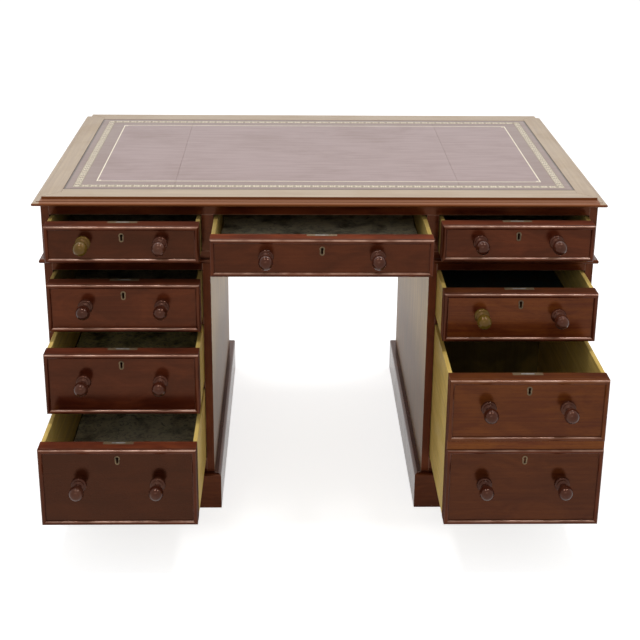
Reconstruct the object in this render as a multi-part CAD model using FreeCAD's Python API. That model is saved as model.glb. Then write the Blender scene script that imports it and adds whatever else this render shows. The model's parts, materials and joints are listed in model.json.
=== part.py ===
"""Twin pedestal writing desk with a leather top, eight drawers and their locks.

Lengths are in millimetres. X runs along the desk, Y from the sitter's side to the back and Z up.
The origin is on the floor, under the middle of the desk with its drawers standing open.
"""
import FreeCAD, Part
import math
import os

V = FreeCAD.Vector

# Carcass
CARCASS_WIDTH = 1230.0
CARCASS_DEPTH = 770.0
KNEEHOLE_WIDTH = 490.0
SIDE_BOARD = 18.0
PEDESTAL_BACK = 12.0
FRIEZE_BACK = 18.0
DIVIDER = 27.0
RAIL_DEPTH = 60.0
BASE_RAIL_DEPTH = 24.0
BOTTOM_BOARD = 18.0
DUST_BOARD = 8.0
RUNNER_WIDTH = 20.0

# Heights, from the floor up; three graduated drawers share what the rest leaves of the desk's height,
# and the lower and the middle one are so much taller than the upper one
DESK_HEIGHT = 770.0
PLINTH_HEIGHT = 90.0
BASE_RAIL = 34.0
LOWER_DRAWER_EXTRA = 69.0
MIDDLE_DRAWER_EXTRA = 30.0
DRAWER_RAIL = 18.0
PEDESTAL_TOP_RAIL = 18.0
WAIST_BOARD = 10.0
FRIEZE_BASE_RAIL = 17.0
FRIEZE_OPENING = 85.0
FRIEZE_TOP_RAIL = 24.5
TOP_THICKNESS = 17.5

# Plinth and waist
PLINTH_PROJECTION = 16.0
PLINTH_BOARD = 22.0
PLINTH_MOULD = 7.0
CORNER_BLOCK = 34.0
WAIST_PROJECTION = 9.5
WAIST_ROUND = 4.5
WAIST_ROUND_LIMIT_SHARE = 0.45

# Top
TOP_END_OVERHANG = 16.0
TOP_FRONT_OVERHANG = 22.5
EDGE_PROJECTION = 20.0
END_BORDER = 58.0
FRONT_BORDER = 77.0
LEATHER_THICKNESS = 1.5
LEFT_LEATHER_WIDTH = 245.0
RIGHT_LEATHER_WIDTH = 256.0

# Moulded edge of the top, as shares of the edge's projection and of the top's thickness
UNDERSIDE_SHARES = (0.25, 0.0)
NOSE_LOW_SHARES = (0.06, 0.08)
NOSE_SHARES = (0.0, 0.25)
NOSE_HIGH_SHARES = (0.12, 0.4)
LEDGE_SHARES = (0.475, 0.48)
STEP_SHARES = (0.475, 0.55)
COVE_SHARES = (0.78, 0.57)
FILLET_SHARES = (1.0, 0.645)

# Drawers
DRAWER_LENGTH = 690.0
FRONT_THICKNESS = 36.0
LINING_SIDE = 9.0
LINING_BACK = 9.0
DRAWER_BOTTOM = 6.0
BOTTOM_LIFT = 8.0
SIDE_GROOVE = 4.0
FRONT_GROOVE = 6.0
SIDE_DROP = 3.0
BACK_DROP = 7.0
BACK_INSET = 6.0
TAIL_LENGTH = 22.0
TAIL_PITCH = 38.0
TAIL_ROOT_SHARE = 0.5
TAIL_SLOPE_SHARE = 0.14
LEAST_TAILS = 2

# Running room for the drawers
SIDE_GAP = 0.8
FRONT_GAP = 1.2
RUN_GAP = 0.4
LINING_SET = 0.6

# Drawer stops
STOP_LENGTH = 40.0
STOP_WIDTH = 12.0
STOP_HEIGHT = 4.5
STOP_GAP = 0.5
STOP_INSET = 42.0

# Cock beads
BEAD_THICKNESS = 9.5
BEAD_SET = 6.0
BEAD_PROJECTION = 5.5
BEAD_ROUND_SHARE = 0.4

# Knobs
KNOB_PROJECTION = 54.0
KNOB_BASE_DIAMETER = 33.0
KNOB_BASE_HEIGHT = 7.0
KNOB_RING_DIAMETER = 26.0
KNOB_RING_HEIGHT = 4.5
KNOB_NECK_DIAMETER = 17.0
KNOB_END_DIAMETER = 31.5
KNOB_SPIGOT_DIAMETER = 12.0
KNOB_PLACE_SHARE = 0.25
KNOB_LIFT_SHARE = 0.04
KNOB_LIP_SHARE = 0.4
KNOB_NECK_SHARE = 0.24
KNOB_SWELL_SHARE = 0.62
KNOB_FACE_SHARE = 0.4
KNOB_ROUND_SHARE = 0.12

# Locks
LOCK_CASE_WIDTH = 44.0
LOCK_HEIGHT = 42.0
LOCK_DEPTH = 10.0
SELVEDGE_WIDTH = 64.0
SELVEDGE_DEPTH = 12.0
SELVEDGE_THICKNESS = 2.0
BOLT_WIDTH = 28.0
BOLT_THICKNESS = 5.0
BOLT_HEIGHT = 15.0
BOLT_THROW = 8.0
BOLT_SINK = 0.2
BOLT_GAP = 0.3
MORTISE_ROOM = 1.0
ESCUTCHEON_RADIUS = 5.8
ESCUTCHEON_LEG = 5.0
ESCUTCHEON_DROP = 14.6
ESCUTCHEON_WALL = 2.8
ESCUTCHEON_SET = 3.5
ESCUTCHEON_PROUD = 0.6
KEYHOLE_BELOW_TOP = 21.0
SCREW_DIAMETER = 2.6
SCREW_HEAD_DIAMETER = 5.2
SCREW_HEAD_DEPTH = 1.4
SCREW_LENGTH = 14.0
SCREW_EDGE = 5.0

# How far each drawer stands open
LEFT_FRIEZE_PULL = 80.0
CENTRE_FRIEZE_PULL = 165.0
RIGHT_FRIEZE_PULL = 68.0
LEFT_UPPER_PULL = 89.0
LEFT_MIDDLE_PULL = 166.0
LEFT_LOWER_PULL = 293.0
RIGHT_UPPER_PULL = 141.0
RIGHT_DEEP_PULL = 296.0

# One overrun serves all cuts
OVERRUN = 5.0

# Levels worked out from the heights above
TOP_Z = DESK_HEIGHT - TOP_THICKNESS
FRIEZE_RAIL_Z = TOP_Z - FRIEZE_TOP_RAIL
FRIEZE_Z = FRIEZE_RAIL_Z - FRIEZE_OPENING
FRIEZE_BASE_Z = FRIEZE_Z - FRIEZE_BASE_RAIL
WAIST_Z = FRIEZE_BASE_Z - WAIST_BOARD
PEDESTAL_RAIL_Z = WAIST_Z - PEDESTAL_TOP_RAIL
LOWER_Z = PLINTH_HEIGHT + BASE_RAIL
OPENINGS = PEDESTAL_RAIL_Z - LOWER_Z - 2 * DRAWER_RAIL
UPPER_OPENING = (OPENINGS - MIDDLE_DRAWER_EXTRA - LOWER_DRAWER_EXTRA) / 3
MIDDLE_OPENING = UPPER_OPENING + MIDDLE_DRAWER_EXTRA
UPPER_Z = PEDESTAL_RAIL_Z - UPPER_OPENING
MIDDLE_RAIL_Z = UPPER_Z - DRAWER_RAIL
MIDDLE_Z = MIDDLE_RAIL_Z - MIDDLE_OPENING
LOWER_RAIL_Z = MIDDLE_Z - DRAWER_RAIL

# Plan worked out from the sizes above
TOP_WIDTH = CARCASS_WIDTH + 2 * TOP_END_OVERHANG
TOP_DEPTH = CARCASS_DEPTH + 2 * TOP_FRONT_OVERHANG
LONGEST_PULL = max(
    LEFT_FRIEZE_PULL, CENTRE_FRIEZE_PULL, RIGHT_FRIEZE_PULL, LEFT_UPPER_PULL,
    LEFT_MIDDLE_PULL, LEFT_LOWER_PULL, RIGHT_UPPER_PULL, RIGHT_DEEP_PULL,
)
FACE_Y = (LONGEST_PULL + KNOB_PROJECTION + TOP_FRONT_OVERHANG - TOP_DEPTH) / 2
BACK_Y = FACE_Y + CARCASS_DEPTH
MIDDLE_Y = (FACE_Y + BACK_Y) / 2
PEDESTAL_NEAR = KNEEHOLE_WIDTH / 2
PEDESTAL_FAR = CARCASS_WIDTH / 2
BAY_NEAR = PEDESTAL_NEAR + SIDE_BOARD
BAY_FAR = PEDESTAL_FAR - SIDE_BOARD
BAY_MIDDLE = (BAY_NEAR + BAY_FAR) / 2
BAY_WIDTH = BAY_FAR - BAY_NEAR
CENTRE_NEAR = BAY_NEAR - DIVIDER
BOLT_MIDDLE = FRONT_THICKNESS - LOCK_DEPTH / 2

SIDES = {"left": -1, "right": 1}


def board(x, y, z):
    """A board between three pairs of planes."""
    return Part.makeBox(x[1] - x[0], y[1] - y[0], z[1] - z[0], V(x[0], y[0], z[0]))


def span(middle, size):
    """The two ends of a size laid out from its middle."""
    return middle - size / 2, middle + size / 2


def reach(side, near, far):
    """The two ends of a stretch on one side of the desk's middle."""
    return tuple(sorted((side * near, side * far)))


def section(start, *steps):
    """A flat face in the YZ plane; a step is its end point, or a point to curve through and its end point."""
    edges = []
    here = start
    for step in steps + ((start,),):
        points = [V(0, *point) for point in (here,) + step]
        if len(points) > 2:
            edges.append(Part.Arc(*points).toShape())
        else:
            edges.append(Part.LineSegment(*points).toShape())
        here = step[-1]
    return Part.Face(Part.Wire(edges))


def mitred_frame(width, depth, profile, end_reach, front_reach, floor, height):
    """Four boards round a rectangle, mitred at its corners.

    profile gives a board's section for its reach, from the outer edge inwards and upwards.
    """
    boards = []
    front = (width, depth / 2, front_reach)
    end = (depth, width / 2, end_reach)
    turn = min(end_reach, front_reach)
    for quarter, (length, half, own) in enumerate((front, end, front, end)):
        run = profile(own).extrude(V(length, 0, 0))
        run.translate(V(-length / 2, 0, 0))
        tip = length / 2
        plan = [(-tip, 0), (tip, 0), (tip - turn, turn)]
        if own > turn:
            plan += [(tip - turn, own), (turn - tip, own)]
        plan += [(turn - tip, turn), (-tip, 0)]
        wedge = Part.Face(Part.makePolygon([V(x, y, floor) for x, y in plan])).extrude(V(0, 0, height))
        piece = run.common(wedge).Solids[0]
        piece.translate(V(0, -half, 0))
        piece.rotate(V(0, 0, 0), V(0, 0, 1), 90 * quarter)
        boards.append(piece)
    return boards


def moved(pieces, x, y, z):
    """The pieces, shifted."""
    for piece in pieces:
        piece.translate(V(x, y, z))
    return pieces


def edge_profile(width):
    """Section of a top border board: square inside, with a fillet, a cove and a rounded nose outside."""

    def at(shares):
        return shares[0] * EDGE_PROJECTION, shares[1] * TOP_THICKNESS

    return section(
        (width, 0),
        (at(UNDERSIDE_SHARES),),
        (at(NOSE_LOW_SHARES), at(NOSE_SHARES)),
        (at(NOSE_HIGH_SHARES), at(LEDGE_SHARES)),
        (at(STEP_SHARES),),
        (at(COVE_SHARES), at(FILLET_SHARES)),
        ((EDGE_PROJECTION, TOP_THICKNESS),),
        ((width, TOP_THICKNESS),),
    )


def desk_top():
    """Moulded border, ground panel and the three leather panels let in flush."""
    border = mitred_frame(TOP_WIDTH, TOP_DEPTH, edge_profile, END_BORDER, FRONT_BORDER, 0, TOP_THICKNESS)
    moved(border, 0, MIDDLE_Y, TOP_Z)
    ground_x = span(0, TOP_WIDTH - 2 * END_BORDER)
    ground_y = span(MIDDLE_Y, TOP_DEPTH - 2 * FRONT_BORDER)
    leather_z = (DESK_HEIGHT - LEATHER_THICKNESS, DESK_HEIGHT)
    ground = board(ground_x, ground_y, (TOP_Z, leather_z[0]))
    seams = (ground_x[0] + LEFT_LEATHER_WIDTH, ground_x[1] - RIGHT_LEATHER_WIDTH)
    edges = (ground_x[0],) + seams + (ground_x[1],)
    leather = [board(pair, ground_y, leather_z) for pair in zip(edges, edges[1:])]
    return {"top_border": border, "top_ground_panel": [ground], "leather_panels": leather}


def rail(x, z, drawer_below):
    """A front rail, with a mortise in its underside for the lock bolt of the drawer below."""
    piece = board(x, (FACE_Y, FACE_Y + RAIL_DEPTH), z)
    for middle in drawer_below:
        depth = BOLT_THROW - FRONT_GAP + MORTISE_ROOM
        mortise = board(
            span(middle, BOLT_WIDTH + 2 * MORTISE_ROOM),
            span(FACE_Y + BOLT_MIDDLE, BOLT_THICKNESS + 2 * MORTISE_ROOM),
            (z[0] - OVERRUN, z[0] + depth),
        )
        piece = piece.cut(mortise)
    return piece.Solids[0]


def strips(bay, y, z):
    """Two strips along the walls of a bay."""
    return [
        board((bay[0], bay[0] + RUNNER_WIDTH), y, z),
        board((bay[1] - RUNNER_WIDTH, bay[1]), y, z),
    ]


def stops(bay, z):
    """Two blocks that stop a drawer front flush with the carcass."""
    near = FACE_Y + FRONT_THICKNESS + STOP_GAP
    y = (near, near + STOP_WIDTH)
    height = (z, z + STOP_HEIGHT)
    left = bay[0] + STOP_INSET
    right = bay[1] - STOP_INSET
    return [board((left, left + STOP_LENGTH), y, height), board((right - STOP_LENGTH, right), y, height)]


def frieze():
    """The frieze carcass with its three drawer bays."""
    left_bay = reach(-1, BAY_NEAR, BAY_FAR)
    centre_bay = (-CENTRE_NEAR, CENTRE_NEAR)
    right_bay = reach(1, BAY_NEAR, BAY_FAR)
    bays = (left_bay, centre_bay, right_bay)
    across = (-BAY_FAR, BAY_FAR)
    depth = (FACE_Y, BACK_Y)
    behind = (FACE_Y + RAIL_DEPTH, BACK_Y - FRIEZE_BACK)
    whole = (FRIEZE_BASE_Z, TOP_Z)
    middles = [(bay[0] + bay[1]) / 2 for bay in bays]
    rails = [
        rail(across, (FRIEZE_RAIL_Z, TOP_Z), middles),
        rail(across, (FRIEZE_BASE_Z, FRIEZE_Z), []),
    ]
    ends = [board(reach(side, BAY_FAR, PEDESTAL_FAR), depth, whole) for side in SIDES.values()]
    dividers = []
    for side in SIDES.values():
        x = reach(side, CENTRE_NEAR, BAY_NEAR)
        front = board(x, (FACE_Y, FACE_Y + RAIL_DEPTH), (FRIEZE_Z, FRIEZE_RAIL_Z))
        dividers.append(front.fuse(board(x, behind, whole)).removeSplitter().Solids[0])
    dust_z = FRIEZE_BASE_Z + DUST_BOARD
    dust_boards = []
    runners = []
    for bay in bays:
        dust_boards.append(board(bay, behind, (FRIEZE_BASE_Z, dust_z)))
        runners += strips(bay, behind, (dust_z, FRIEZE_Z))
        runners += strips(bay, behind, (FRIEZE_RAIL_Z, TOP_Z))
        runners += stops(bay, FRIEZE_Z)
    return {
        "frieze_front_rails": rails,
        "frieze_end_panels": ends,
        "frieze_back_panel": [board(across, (BACK_Y - FRIEZE_BACK, BACK_Y), whole)],
        "frieze_dividers": dividers,
        "frieze_dust_boards": dust_boards,
        "frieze_runners": runners,
    }


def waist_board(side):
    """The moulded board between frieze and pedestal, rounded on its front and its two sides."""
    x = reach(side, PEDESTAL_NEAR - WAIST_PROJECTION, PEDESTAL_FAR + WAIST_PROJECTION)
    piece = board(x, (FACE_Y - WAIST_PROJECTION, BACK_Y), (WAIST_Z, FRIEZE_BASE_Z))
    level = []
    for edge in piece.Edges:
        ends = [vertex.Point for vertex in edge.Vertexes]
        flat = abs(ends[0].z - ends[1].z) < OVERRUN
        at_back = all(end.y > MIDDLE_Y for end in ends)
        if flat and not at_back:
            level.append(edge)
    return piece.makeFillet(min(WAIST_ROUND, WAIST_ROUND_LIMIT_SHARE * WAIST_BOARD), level).Solids[0]


def plinth_profile(width):
    """Section of a plinth board, rounded over at its top outer edge."""
    bend = PLINTH_MOULD * (1 - math.sqrt(0.5))
    return section(
        (0, 0),
        ((width, 0),),
        ((width, PLINTH_HEIGHT),),
        ((PLINTH_MOULD, PLINTH_HEIGHT),),
        ((bend, PLINTH_HEIGHT - bend), (0, PLINTH_HEIGHT - PLINTH_MOULD)),
    )


def plinth(side):
    """Four mitred boards round the foot of a pedestal, and a glue block in each corner."""
    width = PEDESTAL_FAR - PEDESTAL_NEAR + 2 * PLINTH_PROJECTION
    depth = CARCASS_DEPTH + 2 * PLINTH_PROJECTION
    pieces = mitred_frame(width, depth, plinth_profile, PLINTH_BOARD, PLINTH_BOARD, 0, PLINTH_HEIGHT)
    for x_side in SIDES.values():
        for y_side in SIDES.values():
            x = reach(x_side, width / 2 - PLINTH_BOARD - CORNER_BLOCK, width / 2 - PLINTH_BOARD)
            y = reach(y_side, depth / 2 - PLINTH_BOARD - CORNER_BLOCK, depth / 2 - PLINTH_BOARD)
            pieces.append(board(x, y, (0, PLINTH_HEIGHT)))
    return moved(pieces, side * BAY_MIDDLE, MIDDLE_Y, 0)


def pedestal(name, openings):
    """One pedestal; openings are the floor and the ceiling of each drawer bay, from the lowest up."""
    side = SIDES[name]
    bay = reach(side, BAY_NEAR, BAY_FAR)
    depth = (FACE_Y, BACK_Y)
    behind = (FACE_Y + RAIL_DEPTH, BACK_Y - PEDESTAL_BACK)
    whole = (PLINTH_HEIGHT, WAIST_Z)
    sides = [
        board(reach(side, PEDESTAL_NEAR, BAY_NEAR), depth, whole),
        board(reach(side, BAY_FAR, PEDESTAL_FAR), depth, whole),
    ]
    rails = [board(bay, (FACE_Y, FACE_Y + BASE_RAIL_DEPTH), (PLINTH_HEIGHT, LOWER_Z))]
    bottom_y = (FACE_Y + BASE_RAIL_DEPTH, behind[1])
    runners = [board(bay, bottom_y, (LOWER_Z - BOTTOM_BOARD, LOWER_Z))]
    floors = [bay_floor for bay_floor, _ in openings[1:]] + [WAIST_Z]
    for (bay_floor, ceiling), next_floor in zip(openings, floors):
        rails.append(rail(bay, (ceiling, next_floor), [side * BAY_MIDDLE]))
        runners += strips(bay, behind, (ceiling, next_floor))
        runners += stops(bay, bay_floor)
    return {
        name + "_pedestal_sides": sides,
        name + "_pedestal_back": [board(bay, (behind[1], BACK_Y), whole)],
        name + "_pedestal_rails": rails,
        name + "_pedestal_runners": runners,
        name + "_plinth": plinth(side),
    }


def keyhole(radius, leg, drop):
    """A keyhole outline about its round, in the XZ plane."""
    fall = math.sqrt(radius ** 2 - leg ** 2)
    points = [V(-leg, 0, -fall), V(0, 0, radius), V(leg, 0, -fall)]
    foot = [V(leg, 0, leg - drop), V(0, 0, -drop), V(-leg, 0, leg - drop)]
    edges = [
        Part.Arc(*points).toShape(),
        Part.LineSegment(points[2], foot[0]).toShape(),
        Part.Arc(*foot).toShape(),
        Part.LineSegment(foot[2], points[0]).toShape(),
    ]
    return Part.Face(Part.Wire(edges))


def keyhole_block(inset, start, end):
    """A keyhole outline drawn in by an inset, run through from one depth to another."""
    face = keyhole(ESCUTCHEON_RADIUS - inset, ESCUTCHEON_LEG - inset, ESCUTCHEON_DROP - inset)
    face.translate(V(0, start, 0))
    return face.extrude(V(0, end - start, 0))


def bead_profile(width):
    """Section of a cock bead: square where it is let in, rounded where it stands proud."""
    shoulder = BEAD_PROJECTION - BEAD_ROUND_SHARE * BEAD_THICKNESS
    return section(
        (0, -BEAD_SET),
        ((width, -BEAD_SET),),
        ((width, shoulder),),
        ((width / 2, BEAD_PROJECTION), (0, shoulder)),
    )


def bead_frame(middle, width, z):
    """Four cock beads round a drawer front."""
    height = z[1] - z[0]
    deep = BEAD_SET + BEAD_PROJECTION
    beads = mitred_frame(width, height, bead_profile, BEAD_THICKNESS, BEAD_THICKNESS, -BEAD_SET, deep)
    for bead in beads:
        bead.rotate(V(0, 0, 0), V(1, 0, 0), 90)
    return moved(beads, middle, FACE_Y, (z[0] + z[1]) / 2)


def knob(x, z):
    """A turned knob: spigot, stepped base, waisted neck and a swelling, flat-faced end."""
    spigot = KNOB_SPIGOT_DIAMETER / 2
    base = KNOB_BASE_DIAMETER / 2
    ring = KNOB_RING_DIAMETER / 2
    neck = KNOB_NECK_DIAMETER / 2
    end = KNOB_END_DIAMETER / 2
    face = KNOB_FACE_SHARE * end
    lip = KNOB_LIP_SHARE * KNOB_BASE_HEIGHT
    ring_out = KNOB_BASE_HEIGHT + KNOB_RING_HEIGHT
    stem = KNOB_PROJECTION - ring_out
    neck_out = ring_out + KNOB_NECK_SHARE * stem
    swell_out = ring_out + KNOB_SWELL_SHARE * stem
    shoulder = (base + ring) / 2, (lip + KNOB_BASE_HEIGHT) / 2
    bulge = (neck + end) / 2, (neck_out + swell_out) / 2
    brow = (face + end) / 2, (swell_out + KNOB_PROJECTION) / 2

    def at(radius, out):
        return -out, radius

    def curved(point, chord):
        return at(point[0] + KNOB_ROUND_SHARE * chord, point[1] + KNOB_ROUND_SHARE * chord)

    turned = section(
        at(0, -FRONT_THICKNESS),
        (at(spigot, -FRONT_THICKNESS),),
        (at(spigot, 0),),
        (at(base, 0),),
        (at(base, lip),),
        (curved(shoulder, base - ring), at(ring, KNOB_BASE_HEIGHT)),
        (at(ring, ring_out),),
        (at(neck, ring_out),),
        (at(neck, neck_out),),
        (at(bulge[0] + KNOB_ROUND_SHARE * end, bulge[1] - KNOB_ROUND_SHARE * end), at(end, swell_out)),
        (curved(brow, end), at(face, KNOB_PROJECTION)),
        (at(0, KNOB_PROJECTION),),
    ).revolve(V(0, 0, 0), V(0, 1, 0), 360)
    turned.translate(V(x, FACE_Y, z))
    return turned.Solids[0] if turned.Solids else Part.Solid(turned)


def screw(head, into):
    """A countersunk screw with its head at one point, driven one way."""
    cone = Part.makeCone(SCREW_HEAD_DIAMETER / 2, SCREW_DIAMETER / 2, SCREW_HEAD_DEPTH, head, into)
    neck = head + into * SCREW_HEAD_DEPTH
    shank = Part.makeCylinder(SCREW_DIAMETER / 2, SCREW_LENGTH - SCREW_HEAD_DEPTH, neck, into)
    return cone.fuse(shank).removeSplitter().Solids[0]


def lock_screws(middle, back, top):
    """Two screws down through the selvedge of a lock and two forward through its case."""
    screws = []
    for side in SIDES.values():
        selvedge_x = middle + side * (SELVEDGE_WIDTH / 2 - SCREW_EDGE)
        screws.append(screw(V(selvedge_x, back - SELVEDGE_DEPTH / 2, top), V(0, 0, -1)))
        case_x = middle + side * (LOCK_CASE_WIDTH / 2 - SCREW_EDGE)
        screws.append(screw(V(case_x, back, top - LOCK_HEIGHT + SCREW_EDGE), V(0, -1, 0)))
    return screws


def tails(height, z):
    """Dovetails for one end of a drawer side, as outlines in the YZ plane in front of the end."""
    count = max(LEAST_TAILS, int(height // TAIL_PITCH))
    pitch = height / count
    root = TAIL_ROOT_SHARE * pitch / 2
    tip = root + TAIL_SLOPE_SHARE * TAIL_LENGTH
    back = FACE_Y + FRONT_THICKNESS
    faces = []
    for index in range(count):
        middle = z + pitch * (index + 0.5)
        faces.append(section(
            (back, middle - root),
            ((back, middle + root),),
            ((back - TAIL_LENGTH, middle + tip),),
            ((back - TAIL_LENGTH, middle - tip),),
        ))
    return faces


def lining(middle, width, bay_floor, ceiling):
    """Two dovetailed sides, the back and the bottom of a drawer, and what they take out of its front."""
    outer = width / 2 - LINING_SET
    inner = outer - LINING_SIDE
    start = FACE_Y + FRONT_THICKNESS
    end = FACE_Y + DRAWER_LENGTH
    side_z = (bay_floor + RUN_GAP, ceiling - FRONT_GAP - SIDE_DROP)
    bottom_z = bay_floor + FRONT_GAP + BOTTOM_LIFT
    bottom_top = bottom_z + DRAWER_BOTTOM
    tongue_y = (start - FRONT_GROOVE, start)
    tongue = board(span(middle, 2 * inner), tongue_y, (bottom_z, bottom_top))
    panel_x = span(middle, 2 * (inner + SIDE_GROOVE))
    panel = board(panel_x, (start, end), (bottom_z, bottom_top))
    sides = []
    sockets = []
    for side in SIDES.values():
        x = reach(side, inner, outer)
        x = (x[0] + middle, x[1] + middle)
        piece = board(x, (start, end), side_z)
        for face in tails(side_z[1] - side_z[0], side_z[0]):
            tail = face.extrude(V(x[1] - x[0], 0, 0))
            tail.translate(V(x[0], 0, 0))
            piece = piece.fuse(tail)
            sockets.append(tail)
        sides.append(piece.removeSplitter().cut(panel).Solids[0])
    back_y = (end - BACK_INSET - LINING_BACK, end - BACK_INSET)
    back = board(span(middle, 2 * inner), back_y, (bottom_top, side_z[1] - BACK_DROP))
    bottom = panel.fuse(tongue).removeSplitter().Solids[0]
    return sides + [back, bottom], sockets + [tongue]


def drawer(name, middle, width, bay_floor, ceiling, fronts, pull):
    """A whole drawer, drawn out by its pull; fronts are the bottom and the top of each beaded front.

    A false rail lies between one beaded front and the next.
    """
    x = span(middle, width)
    front_z = (bay_floor + FRONT_GAP, ceiling - FRONT_GAP)
    front = board(x, (FACE_Y, FACE_Y + FRONT_THICKNESS), front_z)
    linings, cuts = lining(middle, width, bay_floor, ceiling)
    let_in = (FACE_Y - OVERRUN, FACE_Y + BEAD_SET)
    trim = []
    knobs = []
    brass = []
    for (_, rail_bottom), (rail_top, _) in zip(fronts, fronts[1:]):
        trim.append(board(x, (FACE_Y, let_in[1]), (rail_bottom, rail_top)))
        cuts.append(board(x, let_in, (rail_bottom, rail_top)))
    for index, (low, high) in enumerate(fronts):
        trim += bead_frame(middle, width, (low, high))
        ring = board(x, let_in, (low, high))
        inside_x = span(middle, width - 2 * BEAD_THICKNESS)
        inside = board(inside_x, let_in, (low + BEAD_THICKNESS, high - BEAD_THICKNESS))
        cuts.append(ring.cut(inside))
        for side in SIDES.values():
            knob_x = middle + side * (width / 2 - KNOB_PLACE_SHARE * width)
            knobs.append(knob(knob_x, (low + high) / 2 + KNOB_LIFT_SHARE * (high - low)))
        top_front = index == len(fronts) - 1
        hole_end = FRONT_THICKNESS - LOCK_DEPTH if top_front else ESCUTCHEON_SET
        plate = keyhole_block(0, -ESCUTCHEON_PROUD, ESCUTCHEON_SET)
        hole = keyhole_block(ESCUTCHEON_WALL, -ESCUTCHEON_PROUD - OVERRUN, hole_end)
        seat = plate.fuse(hole)
        ring = plate.cut(hole)
        moved([seat, ring], middle, FACE_Y, high - KEYHOLE_BELOW_TOP)
        cuts.append(seat)
        brass.append(ring.Solids[0])
    cuts += [
        Part.makeCylinder(
            KNOB_SPIGOT_DIAMETER / 2, FRONT_THICKNESS + 2 * OVERRUN,
            V(piece.CenterOfMass.x, FACE_Y - OVERRUN, piece.CenterOfMass.z), V(0, 1, 0),
        )
        for piece in knobs
    ]
    back = FACE_Y + FRONT_THICKNESS
    top = front_z[1]
    case = board(span(middle, LOCK_CASE_WIDTH), (back - LOCK_DEPTH, back), (top - LOCK_HEIGHT, top))
    plate_z = (top - SELVEDGE_THICKNESS, top)
    selvedge = board(span(middle, SELVEDGE_WIDTH), (back - SELVEDGE_DEPTH, back), plate_z)
    lock = case.fuse(selvedge).removeSplitter()
    screws = lock_screws(middle, back, top)
    cuts += [lock] + screws
    bolt_y = FACE_Y + BOLT_MIDDLE
    bolt_top = top - BOLT_SINK
    channel = board(
        span(middle, BOLT_WIDTH + 2 * BOLT_GAP),
        span(bolt_y, BOLT_THICKNESS + 2 * BOLT_GAP),
        (bolt_top - BOLT_HEIGHT - BOLT_GAP, top + OVERRUN),
    )
    bolt = board(span(middle, BOLT_WIDTH), span(bolt_y, BOLT_THICKNESS), (bolt_top - BOLT_HEIGHT, bolt_top))
    for cut in cuts:
        front = front.cut(cut)
    for cut in [channel] + screws:
        lock = lock.cut(cut)
    pieces = {
        name + "_front": [front.Solids[0]] + trim,
        name + "_linings": linings,
        name + "_knobs": knobs,
        name + "_lock": [lock.Solids[0]] + brass + screws,
        name + "_lock_bolt": [bolt],
    }
    for group in pieces.values():
        moved(group, 0, -pull, 0)
    return pieces


def drawers():
    """The eight drawers, each in its own bay."""
    frieze_bay = (FRIEZE_Z, FRIEZE_RAIL_Z)
    upper_bay = (UPPER_Z, PEDESTAL_RAIL_Z)
    middle_bay = (MIDDLE_Z, MIDDLE_RAIL_Z)
    lower_bay = (LOWER_Z, LOWER_RAIL_Z)
    deep_bay = (LOWER_Z, MIDDLE_RAIL_Z)

    def face(bay):
        return bay[0] + FRONT_GAP, bay[1] - FRONT_GAP

    plan = (
        ("left_frieze_drawer", -BAY_MIDDLE, frieze_bay, [face(frieze_bay)], LEFT_FRIEZE_PULL),
        ("centre_frieze_drawer", 0, frieze_bay, [face(frieze_bay)], CENTRE_FRIEZE_PULL),
        ("right_frieze_drawer", BAY_MIDDLE, frieze_bay, [face(frieze_bay)], RIGHT_FRIEZE_PULL),
        ("left_upper_drawer", -BAY_MIDDLE, upper_bay, [face(upper_bay)], LEFT_UPPER_PULL),
        ("left_middle_drawer", -BAY_MIDDLE, middle_bay, [face(middle_bay)], LEFT_MIDDLE_PULL),
        ("left_lower_drawer", -BAY_MIDDLE, lower_bay, [face(lower_bay)], LEFT_LOWER_PULL),
        ("right_upper_drawer", BAY_MIDDLE, upper_bay, [face(upper_bay)], RIGHT_UPPER_PULL),
        ("right_deep_drawer", BAY_MIDDLE, deep_bay, [face(lower_bay), face(middle_bay)], RIGHT_DEEP_PULL),
    )
    pieces = {}
    for name, middle, bay, fronts, pull in plan:
        bay_width = 2 * CENTRE_NEAR if middle == 0 else BAY_WIDTH
        pieces.update(drawer(name, middle, bay_width - 2 * SIDE_GAP, *bay, fronts, pull))
    return pieces


def desk():
    """Every piece of the desk, by name."""
    lower = (LOWER_Z, LOWER_RAIL_Z)
    middle = (MIDDLE_Z, MIDDLE_RAIL_Z)
    upper = (UPPER_Z, PEDESTAL_RAIL_Z)
    deep = (LOWER_Z, MIDDLE_RAIL_Z)
    pieces = desk_top()
    pieces.update(frieze())
    pieces["waist_boards"] = [waist_board(side) for side in SIDES.values()]
    pieces.update(pedestal("left", (lower, middle, upper)))
    pieces.update(pedestal("right", (deep, upper)))
    pieces.update(drawers())
    return pieces


def main():
    os.makedirs("parts", exist_ok=True)
    for name, solids in desk().items():
        shape = solids[0] if len(solids) == 1 else Part.makeCompound(solids)
        shape.exportStep(os.path.join("parts", name + ".step"))


main()
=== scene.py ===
"""Dresses a twin pedestal desk: mahogany boards, tooled leather, oak drawers and brass locks.

Lengths are in metres, in the desk's own frame: X along the desk, Y from the sitter's side to the back, Z up.
"""
import json
import math
import random
from collections import namedtuple

import bmesh
import bpy
from bpy.props import FloatProperty, FloatVectorProperty, IntProperty, PointerProperty
from mathutils import Matrix, Vector


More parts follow.
